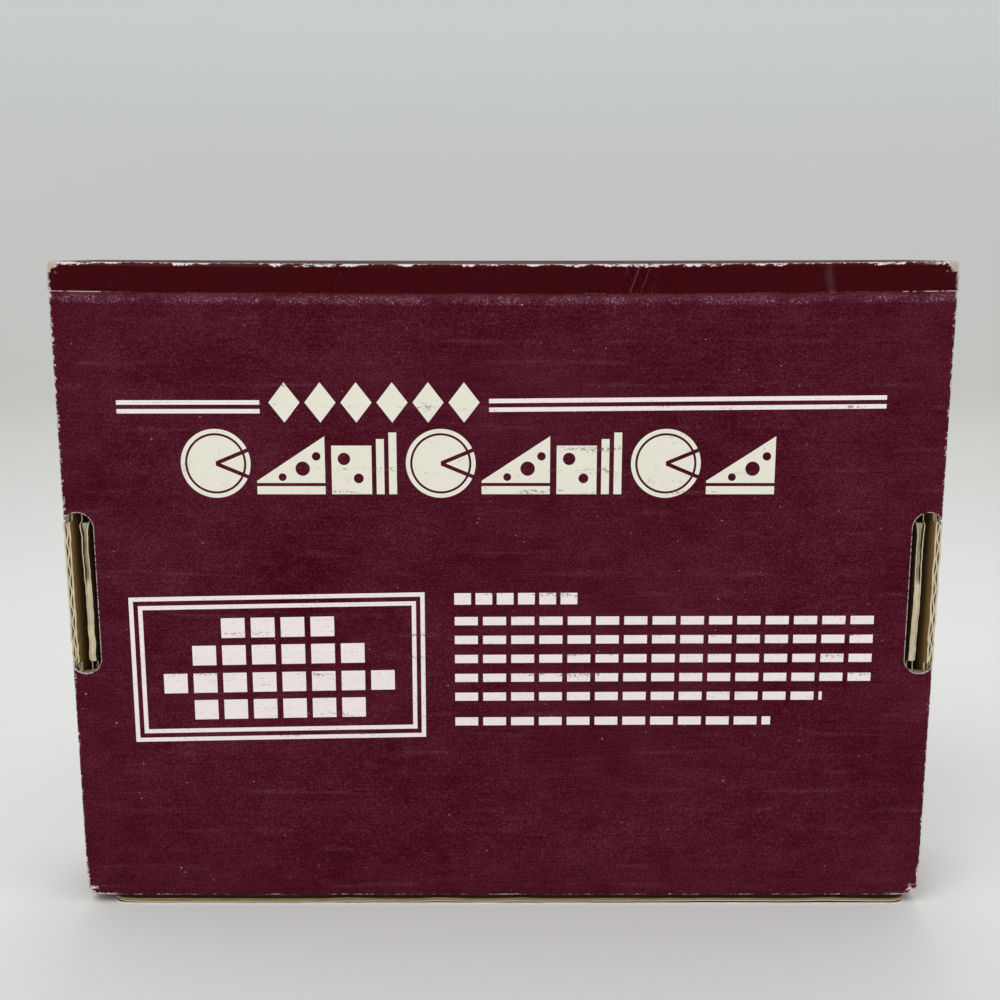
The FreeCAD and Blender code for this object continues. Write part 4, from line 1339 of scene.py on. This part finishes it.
def ring(name, node, twist, rounding):
    """A ring of the size of a node, bored for the stud, round the handle's upright axis."""
    low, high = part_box(node)
    wide, tall = (high.x - low.x) / 2, high.z - low.z
    profile = rounded_profile([(STUD_BORE, 0), (wide, 0), (wide, tall), (STUD_BORE, tall)], rounding)
    return turned(name, profile + [(STUD_BORE, 0)], Vector((twist.x, twist.y, low.z)), "Z")


def block(low, high):
    """A plain block from corner to corner."""
    build = bmesh.new()
    bmesh.ops.create_cube(build, size=1)
    for vert in build.verts:
        vert.co = Vector([mix(low[axis], high[axis], vert.co[axis] + 0.5) for axis in range(3)])
    return build


def marble(colours):
    """White marble with grey veins, polished."""
    finish = Finish("veined_marble")
    warp = finish.grain(40, 4, 0.55, 61)
    cloud = finish.grain(22, 5, 0.6, 62)
    run = (finish.x * 0.055 + finish.z * 0.032 + finish.y * 0.02 + warp * 5.2).math("SINE")
    vein = (1 - abs(run)) ** 14
    thin = (1 - abs((finish.x * 0.03 - finish.z * 0.075 + warp * 7 + cloud * 1.5).math("SINE"))) ** 30
    tone = finish.blend(colours.marble, toned(colours.marble, 0.86), cloud)
    tone = finish.blend(tone, colours.vein, (vein * 0.55 * cloud + thin * 0.5).lesser(1))
    return finish.surface(Base_Color=tone, Roughness=0.16 + 0.1 * cloud, Specular_IOR_Level=0.5,
                          Normal=finish.bump(cloud * 0.05, 0.3))


def metal(name, colour, rough, lines=(0.2, 3, 3), depth=0.01):
    """Metal with fine marks of its making and some dulling."""
    finish = Finish(name)
    marks = finish.grain(lines, 2, 0.6, 71)
    dull = finish.grain(7, 4, 0.6, 72)
    tone = finish.blend(colour, toned(colour, 0.75), dull.above(0.62, 0.25))
    return finish.surface(Base_Color=tone, Metallic=1.0, Roughness=rough + dull * 0.12 + marks * 0.06,
                          Normal=finish.bump(marks * depth, 0.6))


def turned_wood(colours, centre):
    """Lacquered wood with its grain along the handle."""
    finish = Finish("turned_wood")
    x, y = finish.x - centre.x / MM, finish.y - centre.y / MM
    warp = finish.grain((6, 6, 26), 3, 0.5, 81)
    rings = ((((x - 21) ** 2 + (y + 9) ** 2) ** 0.5 * 3.0 + warp * 5).math("SINE") * 0.5 + 0.5) ** 2
    pores = finish.grain((0.35, 0.35, 5), 2, 0.6, 82).above(0.66, 0.1)
    tone = finish.blend(colours.wood, colours.grain, rings * 0.55 + pores * 0.3)
    return finish.surface(Base_Color=tone, Roughness=0.24 + pores * 0.2, Coat_Weight=0.35 + rings * 0.05,
                          Normal=finish.bump(pores * -0.04, 0.6))


def rubber(colours):
    """Moulded black rubber with a dusty skin."""
    finish = Finish("foot_rubber_skin")
    dust = finish.grain(3, 4, 0.6, 91)
    grit = finish.grain(0.25, 1, 0.5, 92)
    tone = finish.blend(colours.rubber, (0.06, 0.057, 0.05), dust.above(0.55, 0.3))
    return finish.surface(Base_Color=tone, Roughness=0.62 + grit * 0.15, Specular_IOR_Level=0.35,
                          Normal=finish.bump(grit * 0.02, 0.7))


class SLICER_OT_stone(bpy.types.Operator):
    """Make the marble board and its rubber feet"""

    bl_idname = "slicer.stone"
    bl_label = "Marble board and feet"

    def execute(self, context):
        low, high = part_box("marble_board")
        build = block(low, high)

        def bevel(edges, offset, segments):
            bmesh.ops.bevel(build, geom=edges, offset=offset, segments=segments, affect="EDGES", profile=0.5,
                            material=-1)

        def edges_at(level):
            return [edge for edge in build.edges if all(abs(vert.co.y - level) < 1e-6 for vert in edge.verts)]

        bevel([edge for edge in build.edges if abs(edge.verts[0].co.y - edge.verts[1].co.y) > 1 * MM], 6 * MM, 10)
        bevel(edges_at(high.y), 1.2 * MM, 4)
        bevel(edges_at(low.y), 0.5 * MM, 2)
        board = mesh_of(build, "board")
        pivot = HINGES["arm_pivot"]
        groove = block((GROOVE_LEFT, GROOVE_FLOOR, low.z - OVERRUN), (GROOVE_RIGHT, high.y + OVERRUN, pivot.z))
        notch = block((NOTCH_LEFT, low.y - OVERRUN, NOTCH_LOW), (NOTCH_RIGHT, high.y + OVERRUN, high.z + OVERRUN))
        hole = turned("hole", [(0, -HOLE_DEPTH), (HOLE_RADIUS, -HOLE_DEPTH), (HOLE_RADIUS, 0), (0, 0)],
                      Vector((HOLE_END, pivot.y, pivot.z)), "X", 32)
        stone = less(board, [mesh_of(groove, "groove"), mesh_of(notch, "notch"), hole])
        looks = settings().slicer
        piece_of("marble_slab", stone, [shared("marble", lambda: marble(looks))], "tray", "marble", "marble_board",
                 smooth=30)
        for row in ("front", "rear"):
            for side in ("left", "right"):
                node = f"rubber_foot_{row}_{side}"
                foot_low, foot_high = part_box(node)
                middle = (foot_low + foot_high) / 2
                wide = (foot_high.x - foot_low.x) / 2
                tall = foot_high.y - foot_low.y
                step, lip = 0.6 * MM - tall / 2, 0.9 * MM - tall / 2
                profile = rounded_profile([(0, -tall / 2), (2.2 * MM, -tall / 2), (2.6 * MM, step),
                                           (wide * 0.62, step), (wide * 0.78, lip), (wide, tall / 2),
                                           (0, tall / 2)], 0.5 * MM)
                piece_of(f"foot_{row}_{side}", turned("foot", profile, middle, "Y"),
                         [shared("rubber", lambda: rubber(looks))], "tray", "foot_rubber", node)
        return {"FINISHED"}


def add_rod(mesh, path, radius, depth_y, sides=28):
    """A round rod along a path in the plane of the carton's front, with closed ends."""
    turns = levels(0, 2 * math.pi, 2 * math.pi / sides)

    def place(turn, item):
        point, normal = item
        away = normal * math.cos(turn) * radius
        return Vector((point.x + away.x, depth_y + math.sin(turn) * radius, point.y + away.y))

    faces = laid_grid(mesh, turns, path, place)
    verts = dict.fromkeys(vert for face in faces for vert in face.verts)
    bmesh.ops.remove_doubles(mesh, verts=list(verts), dist=1e-7)
    faces = [face for face in faces if face.is_valid]
    ends = [edge for face in faces for edge in face.edges if edge.is_boundary]
    caps = bmesh.ops.holes_fill(mesh, edges=list(dict.fromkeys(ends)), sides=0)["faces"]
    bmesh.ops.recalc_face_normals(mesh, faces=faces + caps)


class SLICER_OT_arm(bpy.types.Operator):
    """Make the arm: its bent rod, eye, stud, washer and wire"""

    bl_idname = "slicer.arm"
    bl_label = "Cutter arm"

    def execute(self, context):
        looks = settings().slicer
        pivot, twist = HINGES["arm_pivot"], HINGES["handle_turn"]
        chrome = shared("chrome", lambda: metal("rod_plate", looks.chrome, 0.07))
        steel = shared("steel", lambda: metal("drawn_steel", looks.steel, 0.24))
        eye_low, eye_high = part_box("rod_eye")
        cross = (eye_low.z + eye_high.z) / 2
        eye_radius = (eye_high.x - eye_low.x) / 2
        build = bmesh.new()
        joint = 0.3 * MM
        path = rounded_path([(ROD_END, pivot.z), (ROD_LEFT, pivot.z), (ROD_LEFT, cross),
                             (twist.x - eye_radius + joint, cross)], ROD_BEND, 3 * MM)
        add_rod(build, path, ROD_RADIUS, pivot.y)
        piece_of("bent_rod", mesh_of(build, "bent_rod"), [chrome], "cutter_arm", "rod_chrome", "arm_rod")

        piece_of("eye", ring("eye", "rod_eye", twist, 0.6 * MM), [chrome], "cutter_arm", "rod_chrome", "rod_eye")
        piece_of("washer", ring("washer", "handle_washer", twist, 0.25 * MM), [chrome], "cutter_arm", "rod_chrome",
                 "handle_washer")

        low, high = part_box("tension_stud")
        crest, sunk = (high.x - low.x) / 2, 0.3 * MM
        build = bmesh.new()

        def threaded(turn, level):
            phase = (level / THREAD_PITCH - turn / (2 * math.pi)) % 1
            ridge = 1 - abs(2 * phase - 1)
            taper = ramp(level, low.z, low.z + THREAD_PITCH) * (1 - ramp(level, high.z - THREAD_PITCH, high.z))
            reach = mix(THREAD_CORE, crest, ridge * taper) - (1 - taper) * sunk
            return Vector((twist.x + reach * math.cos(turn), twist.y + reach * math.sin(turn), level))

        turns = levels(0, 2 * math.pi, 2 * math.pi / 24)
        laid_grid(build, turns, levels(low.z, high.z, THREAD_PITCH / 6), threaded)
        bmesh.ops.remove_doubles(build, verts=build.verts, dist=1e-7)
        rims = [edge for edge in build.edges if edge.is_boundary]
        bmesh.ops.holes_fill(build, edges=rims, sides=0)
        bmesh.ops.recalc_face_normals(build, faces=build.faces)
        piece_of("threaded_stud", mesh_of(build, "stud"), [steel], "cutter_arm", "wire_steel", "tension_stud",
                 smooth=50)
        for node in ("cutting_wire", "wire_sleeve", "wire_barrel"):
            for place in frame["nodes"][node].material_slots:
                place.material = steel
        return {"FINISHED"}


class SLICER_OT_handle(bpy.types.Operator):
    """Make the turned handle and the nut pressed in it"""

    bl_idname = "slicer.handle"
    bl_label = "Handle"

    def execute(self, context):
        looks = settings().slicer
        low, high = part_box("handle")
        nut_low, nut_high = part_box("handle_nut")
        twist = HINGES["handle_turn"]
        centre = Vector((twist.x, twist.y, low.z))
        tall = high.z - low.z
        nut_radius, belly, neck, tip = (nut_high.x - nut_low.x) / 2, 11 * MM, 8 * MM, 6.5 * MM
        groove, rings = 0.35 * MM, (tall - 6.2 * MM, tall - 8.3 * MM, 5.6 * MM)
        crown, floor = tall - 0.05 * MM, nut_low.z - low.z

        def outline(level):
            share = level / tall
            radius = 4 * belly * share * (1 - share)
            radius += (1 - 2 * share) * (tip * (1 - share) - neck * share)
            return min(belly, radius) - 0.05 * MM

        # The rounded foot, the belly with its turned grooves, and the crown round the nut
        profile = [(0, 0.35 * MM), (tip - 2.4 * MM, 0.1 * MM), (tip - 1.2 * MM, 0.25 * MM)]
        for level in levels(0.9 * MM, tall - 0.6 * MM, 0.7 * MM):
            near = min(abs(level - line) for line in rings)
            profile.append((outline(level) - groove * (1 - ramp(near, 0, 0.75 * MM)), level))
        profile += [(neck - 0.9 * MM, crown), (nut_radius, crown), (nut_radius, floor), (0, floor)]
        wood = shared("wood", lambda: turned_wood(looks, centre))
        piece_of("grip", turned("grip", profile, centre, "Z", 72), [wood], "tension_handle", "handle_wood", "handle",
                 smooth=50)
        brass = shared("brass", lambda: metal("turned_brass", looks.brass, 0.18, (3, 3, 0.2)))
        piece_of("brass_nut", ring("nut", "handle_nut", twist, 0.3 * MM), [brass], "tension_handle", "nut_brass",
                 "handle_nut")
        return {"FINISHED"}


class SlicerLooks(bpy.types.PropertyGroup):
    """All the sizes and colours of the dressed carton."""

    board: PointerProperty(type=BoardSizes)
    ink: PointerProperty(type=PrintColours)
    paper: PointerProperty(type=BoardColours)
    slicer: PointerProperty(type=SlicerColours)


OPERATORS = (SLICER_OT_stage, SLICER_OT_base_panel, SLICER_OT_walls, SLICER_OT_roll_overs, SLICER_OT_lid,
             SLICER_OT_tape, SLICER_OT_insert, SLICER_OT_stone, SLICER_OT_arm, SLICER_OT_handle)


class SLICER_PT_panel(bpy.types.Panel):
    """Lists the steps that dress the carton"""

    bl_idname = "SLICER_PT_panel"
    bl_label = "Boxed slicer"
    bl_space_type = "VIEW_3D"
    bl_region_type = "UI"
    bl_category = "Slicer"

    def draw(self, context):
        looks = context.scene.slicer_looks
        for group in (looks.board, looks.ink, looks.paper, looks.slicer):
            box = self.layout.box()
            for name in group.bl_rna.properties.keys():
                if name not in ("rna_type", "name"):
                    box.prop(group, name)
        for operator in OPERATORS:
            self.layout.operator(operator.bl_idname)


CLASSES = (BoardSizes, PrintColours, BoardColours, SlicerColours, SlicerLooks, *OPERATORS, SLICER_PT_panel)


def register():
    for item in CLASSES:
        bpy.utils.register_class(item)
    bpy.types.Scene.slicer_looks = PointerProperty(type=SlicerLooks)


def unregister():
    del bpy.types.Scene.slicer_looks
    for item in reversed(CLASSES):
        bpy.utils.unregister_class(item)


def main():
    """Dress the frame."""
    register()
    for operator in OPERATORS:
        group, name = operator.bl_idname.split(".")
        getattr(getattr(bpy.ops, group), name)()


if __name__ == "__main__":
    main()
